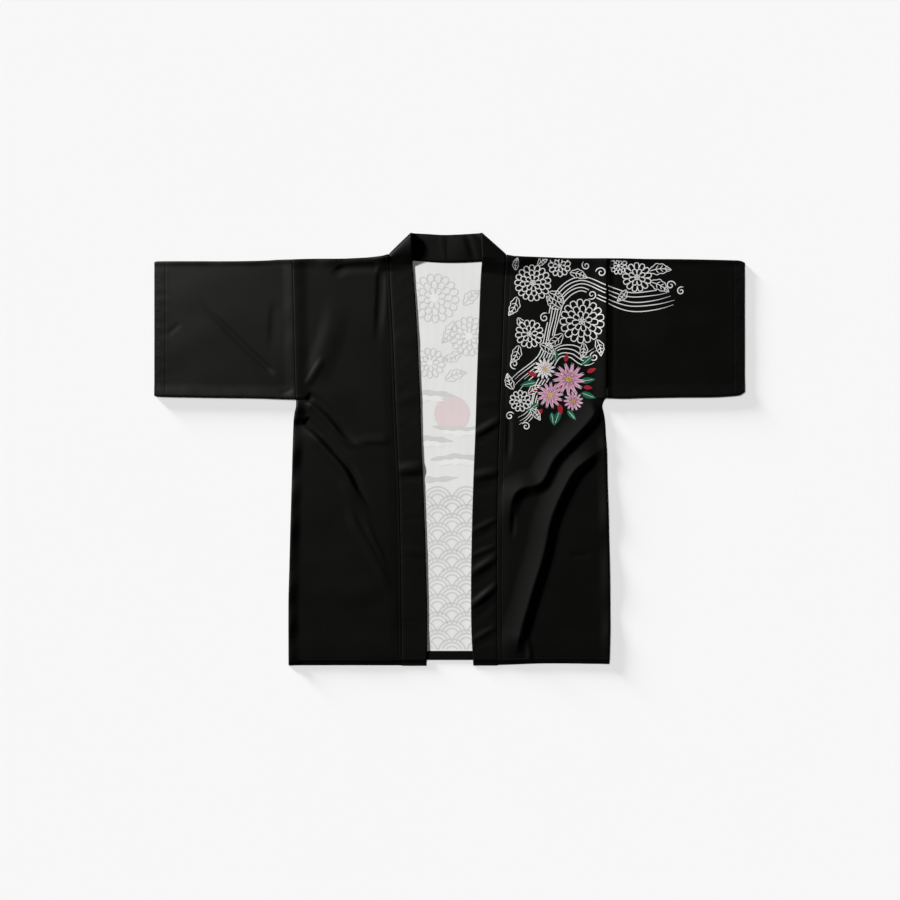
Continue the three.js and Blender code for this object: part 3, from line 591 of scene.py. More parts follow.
# %% The collar's rails
Collar = namedtuple("Collar", "hand rows free seam back_free back_seam puckers ripples")
COLLARS = {
    "collar_right": Collar(
        1, COLLAR_RIGHT, (-66.8, 375.2), (-105.3, 338.2), (-45, -36, -25, -15), (-86, -67, -45, -24), [
            # puckers: free edge's y, seam's y, height, spread
            (-32, -34, 2.0, 15), (-51, -49, -1.6, 9), (-118, -122, -0.7, 9), (-180, -172, 0.5, 12),
            (90, 86, 0.5, 16), (190, 196, 0.6, 22), (-300, -296, -0.5, 9)],
        [(-12, 0.9, 5, 7)]),  # ripples across the back neck: x, height, spread to the left and the right
    "collar_left": Collar(
        -1, COLLAR_LEFT, (55.5, 375.2), (98.3, 337.4), (35, 27, 17, 7), (79, 61, 39, 17), [
            (28, 50, 1.8, 13), (12, 34, -1.0, 13), (-46, -40, 2.0, 13), (-68, -62, -1.2, 13),
            (-214, -186, 1.8, 13), (-236, -206, -1.0, 13), (-270, -236, 2.2, 13), (-298, -262, -1.2, 13),
            (-142, -120, 1.0, 9), (-158, -136, -0.9, 8), (-184, -166, 0.9, 8), (-330, -306, 1.0, 9),
            (-346, -322, -0.8, 8), (84, 80, 0.5, 14), (160, 150, 0.6, 20)],
        [(27, 3.0, 44, 10), (45, 2.4, 6, 10)]),
}
NECK_ROLL, SEAM_ROLL, HALF_BAND = 8.3, 5.6, 1.2  # radii of the turn at both edges; half the thickness
BAND_WIDTH, BAND_STITCH = 43, 2.5  # and how far its row of stitches is from the seam


def collar_stations(c):
    """One row per station: the free edge's middle, the seam's middle, and the thickness direction at
    each, twelve numbers; and the y that says where on the front the station is, or NaN past it."""
    hem = along(FRONT_HEM, 1, c.hand * -60.0)
    y = hem + (331 - hem) * spaced(706, 2.6, end=())
    base = laid_underside(y) + HALF_BAND
    free_z = base + climb(y, -c.hand, FREE_EDGE) * (2 * NECK_ROLL + HALF_BAND - base)
    seam_z = base + climb(y, -c.hand, SEAM) * (2 * SEAM_ROLL + HALF_BAND - base)
    upright = [np.zeros_like(y), np.zeros_like(y), np.ones_like(y)] * 2
    run = np.stack([along(c.rows, 2, y), y, free_z, along(c.rows, 1, y), y, seam_z, *upright], -1)

    # each edge swings over a half turn: up along the front, past its corner, and away along the neck
    out, turn = np.array([-c.hand * 0.683, 0.73]), []
    landings = (along(NECK_TOP, 1, c.free[0] + c.hand * 14.0), along(NECKLINE, 1, c.seam[0] + c.hand * 8.0))
    edges = list(zip((c.free, c.seam), (NECK_ROLL, SEAM_ROLL), ((9, 14), (5, 8)), landings))
    for angle in np.radians([90, 60, 30, 0, -30, -60, -90]):
        station, turned = [], 1 - np.cos(angle)
        for corner, radius, by, landing in edges:
            x, y_ = np.array(corner) - out * HALF_BAND
            if angle < 0:
                x, y_ = x + c.hand * by[1] * turned, y_ + (landing - y_) * turned
            else:
                y_ -= by[0] * turned
            station += [x, y_, radius + HALF_BAND + radius * np.sin(angle)]
        turn.append(station + [*(out * np.cos(angle)), np.sin(angle)] * 2)
    end = CENTRE_BACK - c.hand * 0.05
    back = [[free, along(NECK_TOP, 1, free), HALF_BAND, seam, along(NECKLINE, 1, seam), HALF_BAND]
            + [0, 0, -1] * 2 for free, seam in [*zip(c.back_free, c.back_seam), (end, end)]]
    rest = np.array(turn[0]) - run[-1]
    height = np.isin(np.arange(12), (2, 5))
    between = [run[-1] + rest * np.where(height, risen, t) for t, risen in ((0.35, 0.7), (0.7, 1.0))]
    over = spline(np.array([run[-2], run[-1], *between, *turn, *back]), 7)[7:]
    return np.vstack([run[:-1], over]), np.concatenate([y[:-1], np.full(len(over), np.nan)])


def collar_grid(c):
    """At each station a thin closed section: rounded at the free edge, dipping at the seam. Puckers are
    waves across the band that slant from the seam down to the free edge."""
    stations, run_y = collar_stations(c)
    w_top = np.concatenate([[0, 0.004, 0.015, 0.035, 0.06], np.linspace(0.1, 0.93, 19), [0.965, 0.985, 1.0]])
    n_top = np.concatenate([[0, 0.45, 0.8, 0.97, 1], np.ones(19), [0.85, 0.55, 0.1]])
    w_under, n_under = np.array([1.0, 0.9, 0.7, 0.45, 0.2, 0.03]), np.array([-0.95, -1, -1, -1, -1, -0.9])
    w, n = np.concatenate([w_top, w_under]), np.concatenate([n_top, n_under])
    free, seam, free_way, seam_way = (stations[:, None, k:k + 3] for k in (0, 3, 6, 9))
    share = w[None, :, None]
    way = free_way + (seam_way - free_way) * share
    way /= np.linalg.norm(way, axis=-1, keepdims=True)
    y = np.where(np.isnan(run_y), 1e4, run_y)[:, None]
    wave = np.zeros((len(stations), len(w)))
    for free_y, seam_y, height, spread in c.puckers:
        wave += height * hump(np.abs(y - (free_y + (seam_y - free_y) * w)) / spread)
    wave *= np.sin(np.pi * (0.12 + 0.8 * w))
    wave = np.where(wave > 0, wave, 0.3 * wave)
    points = free + (seam - free) * share + way * (HALF_BAND * n)[None, :, None]
    px, py, upper = points[..., 0], points[..., 1], n > 0.5
    soft = 0.14 * swell(px * 0.5, py, 16, 40 + c.hand) * (n > 0.9)
    near_seam = 0.2 * swell(px * 0.2, py, 12, 44 + c.hand) * np.exp(-(1 - w) * 7) * upper
    stitched = bell(0.22, (1 - w) * BAND_WIDTH - BAND_STITCH, 0.8) * upper
    points = points + way * (1.9 * wave + soft + near_seam - stitched)[..., None]
    slanted = points[..., 0] + 0.2 * (points[..., 1] - 350)
    for x, height, left, right in c.ripples:
        away = np.where(slanted < x, (x - slanted) / left, (slanted - x) / right)
        ripple = height * hump(away) * smooth(-2 * way[..., 2])
        points[..., 2] += ripple * smooth(w * 5) * smooth((1.02 - w) * 2.5)
    points[..., 2] = np.maximum(points[..., 2], 0.03)
    return points


collars = {}
for which, c in COLLARS.items():
    collars[which] = cloth_piece(which + "_band", collar_grid(c), black, thickness=0, flip=c.hand < 0,
                                 round_columns=True)
    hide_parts(which)

# %% [markdown]
# ## The back and its hem
# Only the strip between the collar bands shows, and it is the cloth's inner face, which is pale because
# the print is on the outside. The back is one sheet with a pale upper face and a black lower one.

# %% The pale inside and the back
inside = cloth_finish("inside_cloth", (0.735, 0.74, 0.725), (0.805, 0.81, 0.795), 0.8, 0.1)


def back_grid(half=270, bare=76):
    """Rows run from the hem to the neckline or shoulder; columns are close together where it shows."""
    covered, shown = np.linspace(-half, -bare, 26)[:-1], np.linspace(-bare, bare, 70)
    across = np.concatenate([covered, shown, -covered[::-1]])
    x, v = np.meshgrid(across, spaced(700, 4.0, start=(0, 0.6), end=(0.6, 0)))
    top = np.where((x > -103) & (x < 96.5), along(NECKLINE, 1, x) + 6, along(SHOULDER, 1, x) - 1.6)
    y = BACK_HEM + 0.2 + (top - BACK_HEM - 0.2) * v
    left, right = (side_edge(y, k) for k in (1, 2))
    inset = np.where(y > UNDERARM, 0.2, 1.6)
    x = left + inset + (right - left - 2 * inset) * (x + half) / (2 * half)
    z = 1.17 + 0.16 * swell(x, y, 90, 5) + 0.10 * swell(x * 1.6, y, 34, 6)
    return np.stack([x, y, z], -1)


back = cloth_piece("back_cloth", back_grid(), inside, slot="inside_cloth", thickness=0.9)
back.data.materials.append(black)
shell = back.modifiers["thickness"]
shell.material_offset = shell.material_offset_rim = 1
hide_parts("back")


HEM_ROW = 2.2  # how far the row of stitches is from the turned-up hem's upper edge


def back_hem_grid():
    """The turned-up strip: a low rounded bar across the back, with its stitching near the upper edge."""
    down = spaced(HEM_DEPTH, 1.0, start=(0, 0.2, 0.6), end=(0.6, 0.2, 0))
    v, u = np.meshgrid(down, np.linspace(0, 1, 220), indexing="ij")
    y = BACK_HEM - 0.1 + HEM_DEPTH * v
    left, right = side_edge(y, 1) + 3, side_edge(y, 2) - 3
    x = left + (right - left) * u
    from_top = BACK_HEM + HEM_DEPTH - y
    z = 2.35 + 0.12 * swell(x, y * 0.3, 17, 70) - bell(0.3, from_top - HEM_ROW, 0.8)
    z = z - 1.2 * (1 - roll(from_top, 0.7)) - 2.1 * (1 - roll(y - BACK_HEM + 0.1, 0.9))
    return np.stack([x, y, z], -1)


back_hem = cloth_piece("back_hem_cloth", back_hem_grid(), black)
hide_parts("back_hem")

# %% [markdown]
# ## The print
# The left front and its sleeve carry a print in white line and a few colours: chrysanthemums with their
# leaves beside a stream, which is an old pattern. A picture file could hold it, but would blur near the
# eye. Here every line, petal and leaf is a thin strip of its own, laid out flat in the plane, and
# a Shrinkwrap modifier then drops the strips onto the cloth, folds and seams included.

# %% Strips: lines, petals and leaves in the plane
def strip(path, width, across=2):
    """A band along a path, as a grid of points: each row runs from one side to the other."""
    path = np.asarray(path, float)
    ahead = np.gradient(path, axis=0)
    ahead /= np.linalg.norm(ahead, axis=1, keepdims=True)
    side = np.stack([-ahead[:, 1], ahead[:, 0]], -1)[:, None]
    widths = np.broadcast_to(width, len(path))[:, None, None]
    return path[:, None] + side * np.linspace(-0.5, 0.5, across)[:, None] * widths


def evenly(path, step=2.2):
    """The path again, with its points a step apart."""
    path = np.asarray(path, float)
    walked = np.concatenate([[0], np.cumsum(np.linalg.norm(np.diff(path, axis=0), axis=1))])
    at = np.linspace(0, walked[-1], max(4, int(walked[-1] / step) + 1))
    return np.stack([np.interp(at, walked, path[:, k]) for k in (0, 1)], -1)


def stroke(path, width=2.0):
    """A brush line: full in the middle and thinner at both ends."""
    path = evenly(path)
    share = np.linspace(0, 1, len(path))
    return strip(path, width * (0.35 + 0.65 * smooth(share / 0.12) * smooth((1 - share) / 0.12)))


def turned(points, centre, angle):
    """Points drawn round the origin, turned by an angle and moved to the centre."""
    c, s = np.cos(angle), np.sin(angle)
    return np.asarray(points) @ np.array([[c, s], [-s, c]]) + centre


def petal_line(inner, outer, spread, frill=0.0):
    """The outline of one petal round the angle 0: out along one side, over the tip and back."""
    t = np.linspace(-1, 1, 25)
    far = inner + (outer - inner) * (1 - np.abs(t) ** 2.6) ** (1 / 2.2) * (1 + frill * np.cos(9 * t))
    angle = spread * np.sign(t) * np.abs(t) ** 0.8
    return np.stack([far * np.cos(angle), far * np.sin(angle)], -1)


def flower_lines(x, y, radius, turn, frill=0.0):
    """A flower in line: rings of petals, each ring starting where the one inside it ends."""
    centre, circle = (x, y), 2 * np.pi
    counts = (8, 12, 17) if radius > 30 else (8, 13) if radius > 22 else (7, 11)
    edges = radius * np.array([0.2, 0.45, 0.72, 1.0] if len(counts) == 3 else [0.24, 0.58, 1.0])
    heart = petal_line(0, edges[0] * 0.9, 0.5)
    lines = [turned(heart, centre, turn + a) for a in np.arange(5) * circle / 5]
    for k, count in enumerate(counts):
        petal = petal_line(edges[k] * 0.98, edges[k + 1], 0.94 * np.pi / count, frill)
        angles = (np.arange(count) + 0.5 * (k % 2)) * circle / count + turn
        lines += [turned(petal, centre, a) for a in angles]
    return lines


def leaf_lines(x, y, degrees, length):
    """A leaf in line: both edges, the midrib and three pairs of veins."""
    t = np.linspace(0, 1, 21)
    half = 0.23 * length * np.sin(np.pi * t ** 0.8) * (1 + 0.12 * np.sin(22 * t))
    bend = 0.08 * length * np.sin(np.pi * t)
    lines = [np.stack([t * length, bend + side * half], -1) for side in (1, -1, 0)]
    for at in (6, 10, 14):
        for side in (1, -1):
            tip = (t[at] + 0.13) * length, bend[at] + side * half[at] * 0.75
            lines.append([(t[at] * length, bend[at]), tip])
    return [turned(line, (x, y), np.radians(degrees)) for line in lines]


def stream_lines(course, count, gap, seed):
    """Flowing water: lines side by side along a course, their distances swelling and shrinking."""
    course = evenly(spline(course, 12), 4)
    ahead = np.gradient(course, axis=0)
    side = np.stack([-ahead[:, 1], ahead[:, 0]], -1) / np.linalg.norm(ahead, axis=1, keepdims=True)
    rng, t = np.random.default_rng(seed), np.linspace(0, 1, len(course))
    lines = []
    for k in range(count):
        off = (k - (count - 1) / 2) * gap * (1 + 0.3 * np.sin(5.2 * t + 1))
        off += 0.9 * np.sin(17 * t + rng.uniform(0, 6))
        first, last = np.sort(rng.uniform(0, 0.08, 2)), np.sort(rng.uniform(0.9, 1, 2))
        keep = (t >= first[0]) & (t <= last[1])
        lines.append((course + side * off[:, None])[keep])
    return lines


def curl(x, y, radius, start, hand):
    """A breaking wave's head: a spiral that winds inwards by one turn and a third."""
    t = np.linspace(0, 1, 40)
    far, angle = radius * (1 - 0.82 * t ** 0.8), start + hand * 1.35 * 2 * np.pi * t
    return np.stack([x + far * np.cos(angle), y + far * np.sin(angle)], -1)


def leaf_circles(x, y, degrees, length):
    """Three circles, as x, y and radius, that cover a leaf."""
    middles = turned([(0.2 * length, 0), (0.46 * length, 0), (0.72 * length, 0)], (x, y), np.radians(degrees))
    return [(*middle, share * length) for middle, share in zip(middles, (0.14, 0.2, 0.15))]


# %% Laying the strips on the cloth
def keep_on_cloth(x, y):
    """Where the print may lie: on the left front or its sleeve, clear of the seams and the folded edges."""
    armhole, seam = side_edge(y, 2), along(COLLAR_LEFT, 1, y)
    top = np.where(x < armhole, along(SHOULDER, 1, x), along(SLEEVE_LEFT, 1, np.clip(x, 271, 510)))
    return (x > seam + 1.2) & (np.abs(x - armhole) > 1.0) & (y < top - 2.8)


def printed(name, strips, material, slot, lift, onto, hidden=(), allowed=keep_on_cloth):
    """One piece of all strips of a colour, dropped straight down onto the cloth. Faces that reach past
    where the print may lie, or into a circle (x, y, radius) that hides them, are left out."""
    points, faces, first = [], [], 0
    for grid in strips:
        rows, across = grid.shape[:2]
        points.append(grid.reshape(-1, 2))
        faces.append(grid_faces(rows, across) + first)
        first += rows * across
    points, faces = np.vstack(points), np.vstack(faces)
    kept = allowed(points[:, 0], points[:, 1])[faces].all(1)
    middle = points[faces].mean(1)
    for x, y, radius in hidden:
        kept &= np.hypot(middle[:, 0] - x, middle[:, 1] - y) > radius
    used, faces = np.unique(faces[kept], return_inverse=True)
    above = np.full(len(used), 45.0)  # well over the cloth, from where the strips drop
    points, faces = np.column_stack([points[used], above]), faces.reshape(-1, 4)
    a, b, c, d = (points[faces[:, k], :2] for k in range(4))
    (ax, ay), (bx, by) = (c - a).T, (d - b).T
    inverted = ax * by - ay * bx < 0
    faces[inverted] = faces[inverted][:, ::-1]
    piece = mesh_piece(name, points, faces, material, slot)
    drop = piece.modifiers.new("drop", "SHRINKWRAP")
    drop.wrap_method, drop.wrap_mode = "PROJECT", "ABOVE_SURFACE"
    drop.use_project_z = drop.use_negative_direction = True
    drop.use_positive_direction = False
    drop.target, drop.offset = onto[0], lift / 1000
    if len(onto) > 1:
        drop.auxiliary_target = onto[1]
    print(f"{name}: {len(strips)} strips, {len(faces)} faces")
    return piece


# %% [markdown]
# ### White line
# Each flower hides the leaves and the water behind it. The strips are flat and can't hide anything, so
# what would lie inside a flower's circle is left out when the piece is made.

# %% The white print
FLOWERS = [  # x, y, radius, turn, frill
    (229, 222, 38, 0.2, 0.0), (144, 288, 31, 0.9, 0.05), (324, 298, 25, 0.4, 0.0), (138, 200, 24, 0.1, 0.0),
    (190, 318, 19, 0.5, 0.05), (122, 84, 18, 0.7, 0.0), (292, 318, 15, 0.1, 0.05),
]
LEAVES = [  # x, y, angle in degrees, length
    (193, 244, 140, 34), (196, 200, 215, 36), (254, 190, -75, 30), (171, 272, -35, 34), (117, 264, -115, 36),
    (118, 228, -70, 26), (346, 290, -28, 38), (344, 308, 4, 40), (156, 182, -35, 32), (120, 180, -115, 34),
    (208, 306, -18, 32), (110, 104, 110, 30), (136, 96, 30, 28), (232, 184, -100, 28), (306, 276, -130, 26),
    (152, 318, 35, 24), (114, 310, 80, 22), (140, 70, -50, 26),
]
STREAMS = [  # points of the course, lines, their distance, seed
    ([(394, 268), (356, 258), (312, 256), (270, 270), (226, 286), (190, 262), (176, 214), (162, 158),
      (122, 122), (104, 102)], 5, 6.2, 1),
    ([(262, 172), (236, 156), (212, 170), (186, 166), (166, 128), (152, 104), (140, 62), (112, 42)],
     4, 5.6, 2),
]
CURLS = [  # x, y, radius, start, hand
    (250, 160, 9, 1.6, 1), (112, 148, 9, 5.0, -1), (104, 58, 8, 0.5, 1), (132, 40, 8, 2.6, -1),
    (382, 284, 9, 0.0, 1), (400, 274, 8, 1.0, 1), (246, 268, 9, 4.0, 1), (262, 306, 10, 3.0, -1),
    (236, 318, 8, 2.2, 1), (164, 228, 9, 1.0, 1),
]
GREEN_LEAVES = [  # x, y, angle in degrees, length
    (228, 146, 40, 26), (184, 152, 95, 24), (150, 116, 190, 28), (154, 80, 215, 26), (190, 66, 250, 26),
    (228, 98, -20, 26), (226, 118, 8, 26), (176, 64, -80, 22), (204, 68, -50, 22),
]
RED_LEAVES = [
    (238, 134, 22, 16), (152, 102, 170, 14), (200, 152, 75, 15), (150, 128, 160, 16), (192, 104, 120, 12),
    (190, 78, -80, 18), (160, 70, 235, 14), (232, 108, -5, 15),
]
# coloured flowers: x, y, radius, turn
COLOURED = [(206, 122, 28, 0.3), (174, 94, 23, 1.0), (164, 140, 19, 0.6), (214, 84, 17, 0.2)]

white = cloth_finish("print_white", (0.72, 0.72, 0.71), (0.84, 0.84, 0.83), 0.62, 0.25)
on_left = [fronts["front_left"], sleeves["sleeve_left"]]
petals = [place[:3] for place in COLOURED]
flowers = [place[:3] for place in FLOWERS] + petals
leaves = flowers + [circle for place in LEAVES + GREEN_LEAVES for circle in leaf_circles(*place)]
for name, lines, width, lift, hidden in [
    ("water", [line for stream in STREAMS for line in stream_lines(*stream)], 1.6, 0.14,
     leaves + [(x, y, r + 1) for x, y, r, *_ in CURLS]),
    ("curls", [curl(*place) for place in CURLS], 1.8, 0.15, leaves),
    ("leaves", [line for place in LEAVES for line in leaf_lines(*place)], 1.3, 0.17, flowers),
    ("flowers", [line for place in FLOWERS for line in flower_lines(*place)], 1.6, 0.2, petals),
]:
    printed("print_white_" + name, [stroke(line, width) for line in lines], white, "print_white", lift,
            on_left, hidden)

# %% [markdown]
# ### Colours
# The coloured flowers are filled. A petal is a strip too, wide in its middle and pointed at its tip, with
# a darker vein on it; the strips lie a few hundredths of a millimetre apart, so none sinks in another.

# %% The coloured print
def blade(inner, outer, width, rows=9):
    """A petal or leaf along the angle 0 as (path, widths)."""
    t = np.linspace(0, 1, rows)
    path = np.stack([inner + (outer - inner) * t, np.zeros(rows)], -1)
    return path, width * np.sin(np.pi * np.clip(t, 0.02, 0.97) ** 0.75) ** 0.8


def blades(centre, ring, inner, outer, width, turn, across=3):
    """A ring of equal petals round a centre."""
    path, widths = blade(inner, outer, width)
    return [strip(turned(path, centre, turn + a), widths, across) for a in np.arange(ring) * 2 * np.pi / ring]


pinks, pales, veins, hearts, tips, greens, reds = [], [], [], [], [], [], []
for n, (x, y, r, turn) in enumerate(COLOURED):
    filling = pales if n == 2 else pinks
    for k, (ring, inner, outer) in enumerate([(13, 0.22, 1.0), (10, 0.08, 0.66), (7, 0.04, 0.38)]):
        angle = turn + k * 0.21
        filling += blades((x, y), ring, r * inner, r * outer, r * outer * 3.1 / ring, angle)
        veins += blades((x, y), ring, r * (inner + 0.1), r * outer * 0.74, 0.8, angle, 2)
        tips += blades((x, y), ring, r * outer * 0.62, r * outer * 1.02, 0.8, angle + 0.12, 2)
    hearts += blades((x, y), 7, 0.0, r * 0.19, r * 0.16, turn)
for x, y, angle, length in GREEN_LEAVES:
    path, widths = blade(0, length, length * 0.42, 11)
    greens.append(strip(turned(path, (x, y), np.radians(angle)), widths, 5))
    tips.append(stroke(turned([(2, 0), (length * 0.85, 0)], (x, y), np.radians(angle)), 0.7))
for x, y, angle, length in RED_LEAVES:
    path, widths = blade(0, length, length * 0.5)
    reds.append(strip(turned(path, (x, y), np.radians(angle)), widths, 4))
for name, strips, dark, light, slot, lift in [
    ("print_green_leaves", greens, (0.003, 0.085, 0.045), (0.008, 0.13, 0.07), "print_green", 0.13),
    ("print_red_leaves", reds, (0.26, 0.01, 0.02), (0.38, 0.02, 0.035), "print_red", 0.16),
    ("print_pink_petals", pinks, (0.58, 0.27, 0.42), (0.72, 0.42, 0.55), "print_pink", 0.2),
    ("print_red_veins", veins, (0.30, 0.03, 0.08), (0.40, 0.05, 0.12), "print_red", 0.24),
    ("print_yellow_hearts", hearts, (0.62, 0.46, 0.07), (0.76, 0.6, 0.14), "print_yellow", 0.28),
]:
    printed(name, strips, cloth_finish(name, dark, light, 0.6, 0.25), slot, lift, on_left)
printed("print_white_petals", pales, white, "print_white", 0.2, on_left)
printed("print_white_tips", tips, white, "print_white", 0.3, on_left)

# %% [markdown]
# ### The pale picture on the inside
# The back is printed too, and through the thin cloth its picture shows on the inside in pale greys. It
# lies between the collar bands: a large round sun behind clouds, flowers above it and scalloped waves
# below. The strips are wide and soft here, and only a shade darker than the cloth.

# %% The inside's picture
def between_bands(x, y):
    """Where the inside is bare: between the free edges of the collar and above the hem."""
    return ((x > along(COLLAR_RIGHT, 2, y) - 6) & (x < along(COLLAR_LEFT, 2, y) + 6)
            & (y < along(NECKLINE, 1, x) - 3) & (y > BACK_HEM + HEM_DEPTH + 1.5))


def disc(x, y, radius):
    """A filled circle, as one strip whose width follows the circle."""
    t = np.linspace(-1, 1, 33)
    path = np.stack([t * radius + x, np.full(33, y)], -1)
    return strip(path, 2 * radius * np.sqrt(1 - t**2) + 0.01, 13)


def scallops(low, high, radius, reach=96):
    """Rows of overlapping scales, each of three arcs, drawn between two heights and as far to each side
    as the reach."""
    t, arcs = np.linspace(0.06, np.pi - 0.06, 25), []
    for row, y in enumerate(np.arange(low, high, radius * 0.62)):
        for x in np.arange(-reach + radius * (row % 2), reach, 2 * radius):
            arcs += [np.stack([x + radius * k * np.cos(t), y + radius * k * np.sin(t)], -1)
                     for k in (0.97, 0.72, 0.46)]
    return arcs


def cloud(x, y, length, lift):
    """A long soft cloud: a band that swells and thins along its way."""
    t = np.linspace(0, 1, 41)
    path = np.stack([x + length * t, y + lift * np.sin(np.pi * t)], -1)
    thin = np.sqrt(np.sin(np.pi * np.clip(t, 0.003, 0.997)))
    return strip(path, (7 + 5 * np.sin(3 * np.pi * t + 0.6) ** 2) * thin, 5)


shade = cloth_finish("inside_shade", (0.585, 0.592, 0.58), (0.65, 0.657, 0.645), 0.8, 0.1)
blush = cloth_finish("inside_blush", (0.70, 0.585, 0.60), (0.75, 0.645, 0.655), 0.8, 0.1)
pale = cloth_finish("inside_pale", (0.78, 0.785, 0.77), (0.83, 0.835, 0.82), 0.8, 0.1)
BLOSSOMS = [(-26, 262, 42, 0.3), (34, 196, 34, 0.8), (-34, 150, 26, 0.1)]  # x, y, radius, turn
PALE_LEAVES = [(24, 250, 40, 40), (8, 222, -120, 44), (20, 168, 200, 36), (-8, 120, 20, 40)]
CLOUDS = [(-80, 92, 92, 6), (-30, 40, 104, -5), (-78, 14, 84, 5), (-34, -18, 96, 6), (-76, -48, 90, -4)]
GLEAMS = [(-70, 84, 60, 5), (-16, 32, 76, -4), (-60, 6, 50, 4), (-20, -26, 70, 5)]
drawn = [stroke(line, 1.8) for place in BLOSSOMS for line in flower_lines(*place, 0.04)]
drawn += [stroke(line, 1.5) for place in PALE_LEAVES for line in leaf_lines(*place)]
waves = [stroke(arc, 2.8) for arc in scallops(-352, -84, 25)] + [cloud(*place) for place in CLOUDS]
gleams = [cloud(*place) for place in GLEAMS] + [disc(x, y, r * 0.19) for x, y, r, _ in BLOSSOMS]
for name, strips, material, lift in [
    ("inside_sun", [disc(4, 62, 31)], blush, 0.10), ("inside_waves", waves, shade, 0.13),
    ("inside_flowers", drawn, shade, 0.13), ("inside_gleams", gleams, pale, 0.16),
]:
    printed(name, strips, material, "inside_cloth", lift, [back], allowed=between_bands)

# %% [markdown]
# ## Stitching
# A lockstitch leaves a row of short threads on the cloth, each sunk a little into it. Each one is a tiny
# strip laid in the same way as the print, and a Solidify modifier makes it a thread of half a millimetre.

# %% Rows of stitches
thread = cloth_finish("thread", (0.0004,) * 3, (0.0012,) * 3, 0.6, 0.06, grain=0.0)


def stitches(path, length=2.7, pitch=3.8):
    """Short strips one after the other along a path."""
    fine = evenly(path, 1.0)
    walked = np.concatenate([[0], np.cumsum(np.linalg.norm(np.diff(fine, axis=0), axis=1))])
    at = np.arange(0.5, walked[-1] - length, pitch)[:, None] + np.array([0, 0.5, 1]) * length
    places = np.stack([np.interp(at, walked, fine[:, k]) for k in (0, 1)], -1)
    return [strip(place, 0.6 * np.array([0.6, 1, 0.6])) for place in places]


def sewn(name, paths, target):
    """The stitches of some seams on one piece of cloth."""
    piece = printed(name, [s for path in paths for s in stitches(path)], thread, "thread", 0.14, [target],
                    allowed=lambda x, y: np.ones(len(x), bool))
    body = piece.modifiers.new("body", "SOLIDIFY")
    body.thickness, body.offset = 0.0003, -1


for which, front in FRONTS.items():
    y = np.linspace(-368, 326, 120)
    seam = np.stack([along(front.collar, 1, y) + front.hand * front.stitch, y], -1)
    x = np.linspace(*np.sort([front.hand * 272, front.hand * 96]), 60)
    sewn(which + "_stitches", [seam, np.stack([x, along(FRONT_HEM, 1, x) + HEM_STITCH], -1)], fronts[which])
for which, c in COLLARS.items():
    y = np.linspace(-368, 300, 120)
    sewn(which + "_stitches", [np.stack([along(c.rows, 1, y) + c.hand * BAND_STITCH, y], -1)], collars[which])
for which, sleeve in SLEEVES.items():
    x = sleeve.hand * (CUFF - CUFF_STITCH)
    y = np.linspace(along(sleeve.edges, 2, x) + 4, along(sleeve.edges, 1, x) - 4, 40)
    sewn(which + "_stitches", [np.stack([np.full(40, x), y], -1)], sleeves[which])
x = np.linspace(-46, 42, 40)
sewn("back_hem_stitches", [np.stack([x, np.full(40, BACK_HEM + HEM_DEPTH - HEM_ROW)], -1)], back_hem)

# %% [markdown]
# ## Table, light and camera
# The jacket lies on white. A narrow low light from the upper left grazes the black cloth, so folds are
# bright on that side, and a disk lamp nearer to it brightens the upper left more than the rest. Black
# and white can't be lit alike here, so one lamp reaches the pale inside alone, and two reach the table
# alone: a high one that keeps it white and a low one that gives it faint shadows to the lower right.
# The camera looks straight down.

# %% Floor
corners = np.array([(-1, -1), (1, -1), (1, 1), (-1, 1)]) * 30000.0
table_finish, table_shader, table_place = finish_named("table_finish", 0.95, Specular_IOR_Level=0.0)
feed(table_shader, Base_Color=table_place.noise(3.0, 2.0).between((0.86,) * 3, (0.865,) * 3))
table = mesh_piece("table", np.column_stack([corners, np.full(4, -0.02)]), [[0, 1, 2, 3]], table_finish)

# %% Lights
world = bpy.data.worlds.new("studio")
bpy.context.scene.world = world
world.use_nodes = True
world.node_tree.nodes["Background"].inputs["Color"].default_value = (1, 1, 1, 1)
world.node_tree.nodes["Background"].inputs["Strength"].default_value = 0.03


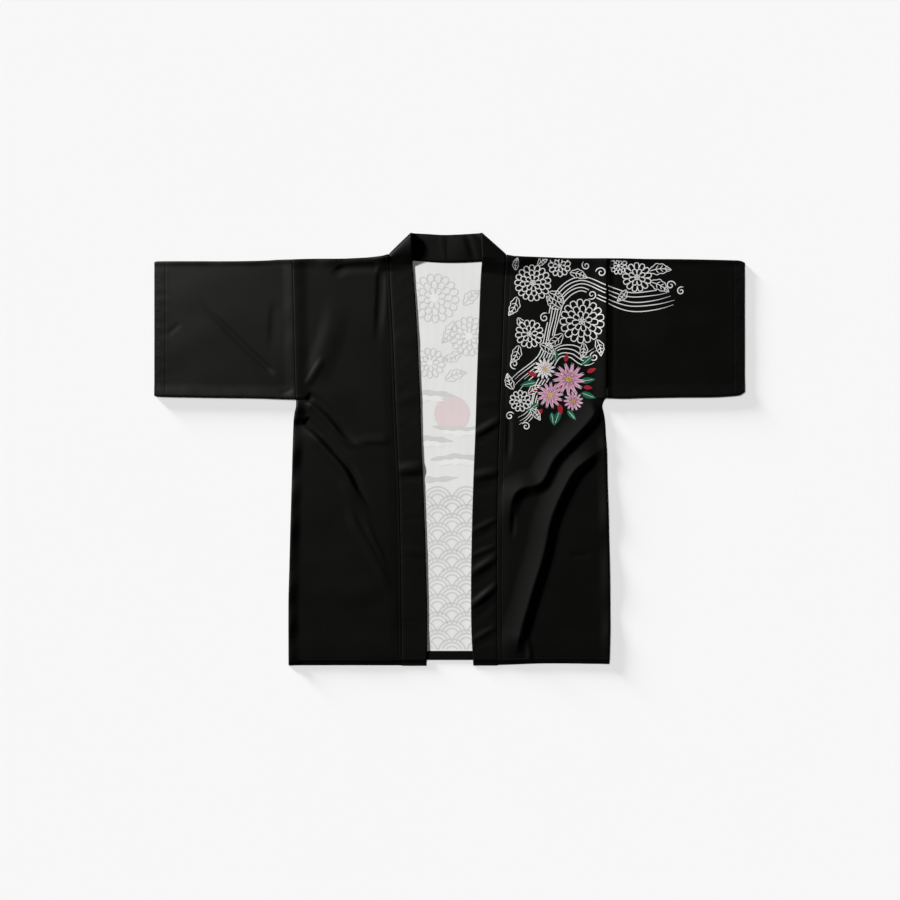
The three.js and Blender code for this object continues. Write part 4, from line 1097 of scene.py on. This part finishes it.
def lamp_toward(name, kind, toward, objects, **settings):
    """A lamp that shines from this direction onto these objects alone; all still cast its shadows."""
    light = bpy.data.lights.new(name, kind)
    for setting, value in settings.items():
        setattr(light, setting, value)
    lamp = bpy.data.objects.new(name, light)
    bpy.context.scene.collection.objects.link(lamp)
    lamp.rotation_euler = Vector(toward).to_track_quat("Z", "Y").to_euler()
    group = bpy.data.collections.new("lit_" + name)
    for thing in objects:
        group.objects.link(thing)
    lamp.light_linking.receiver_collection = group
    return lamp


def far_light(name, bearing, elevation, spread, strength, objects):
    """A distant light at a bearing from the right, anticlockwise, and an elevation, as wide as spread."""
    turn, rise = np.radians((bearing, elevation))
    toward = (np.cos(turn) * np.cos(rise), np.sin(turn) * np.cos(rise), np.sin(rise))
    lamp_toward(name, "SUN", toward, objects, energy=strength, angle=np.radians(spread))


garment = [piece for piece in bpy.context.scene.objects if piece.type == "MESH" and piece is not table]
pale_side = [piece for piece in garment if piece.name.startswith(("inside", "back_cloth"))]
far_light("key", 147, 25, 5, 6.1, garment)
far_light("top", 135, 72, 20, 2.67, [table])
far_light("low", 135, 8.5, 12, 5.2, [table])
far_light("inner", 135, 70, 20, 0.4, pale_side)
NEAR = (-0.80, 0.66, 0.46)
near = lamp_toward("near", "AREA", NEAR, [*fronts.values(), *sleeves.values(), *collars.values(), back_hem],
                   shape="DISK", size=0.2, energy=22.0)
near.location = NEAR

# %% Camera
camera_data = bpy.data.cameras.new("camera")
camera_data.lens, camera_data.sensor_width = 85, 36
camera = bpy.data.objects.new("camera", camera_data)
bpy.context.scene.collection.objects.link(camera)
PIXELS, SCALE = 900, 1.73  # the photograph's side, and the millimetres to a pixel
frame_width = PIXELS * SCALE / 1000
camera.location = (0.0007, -0.0008, frame_width * camera_data.lens / camera_data.sensor_width + 0.003)
camera.rotation_euler = (0, 0, 0)
camera_data.clip_end = 50
bpy.context.scene.camera = camera
bpy.context.scene.view_settings.view_transform = "Standard"
print("camera height", round(camera.location.z, 3), "m")
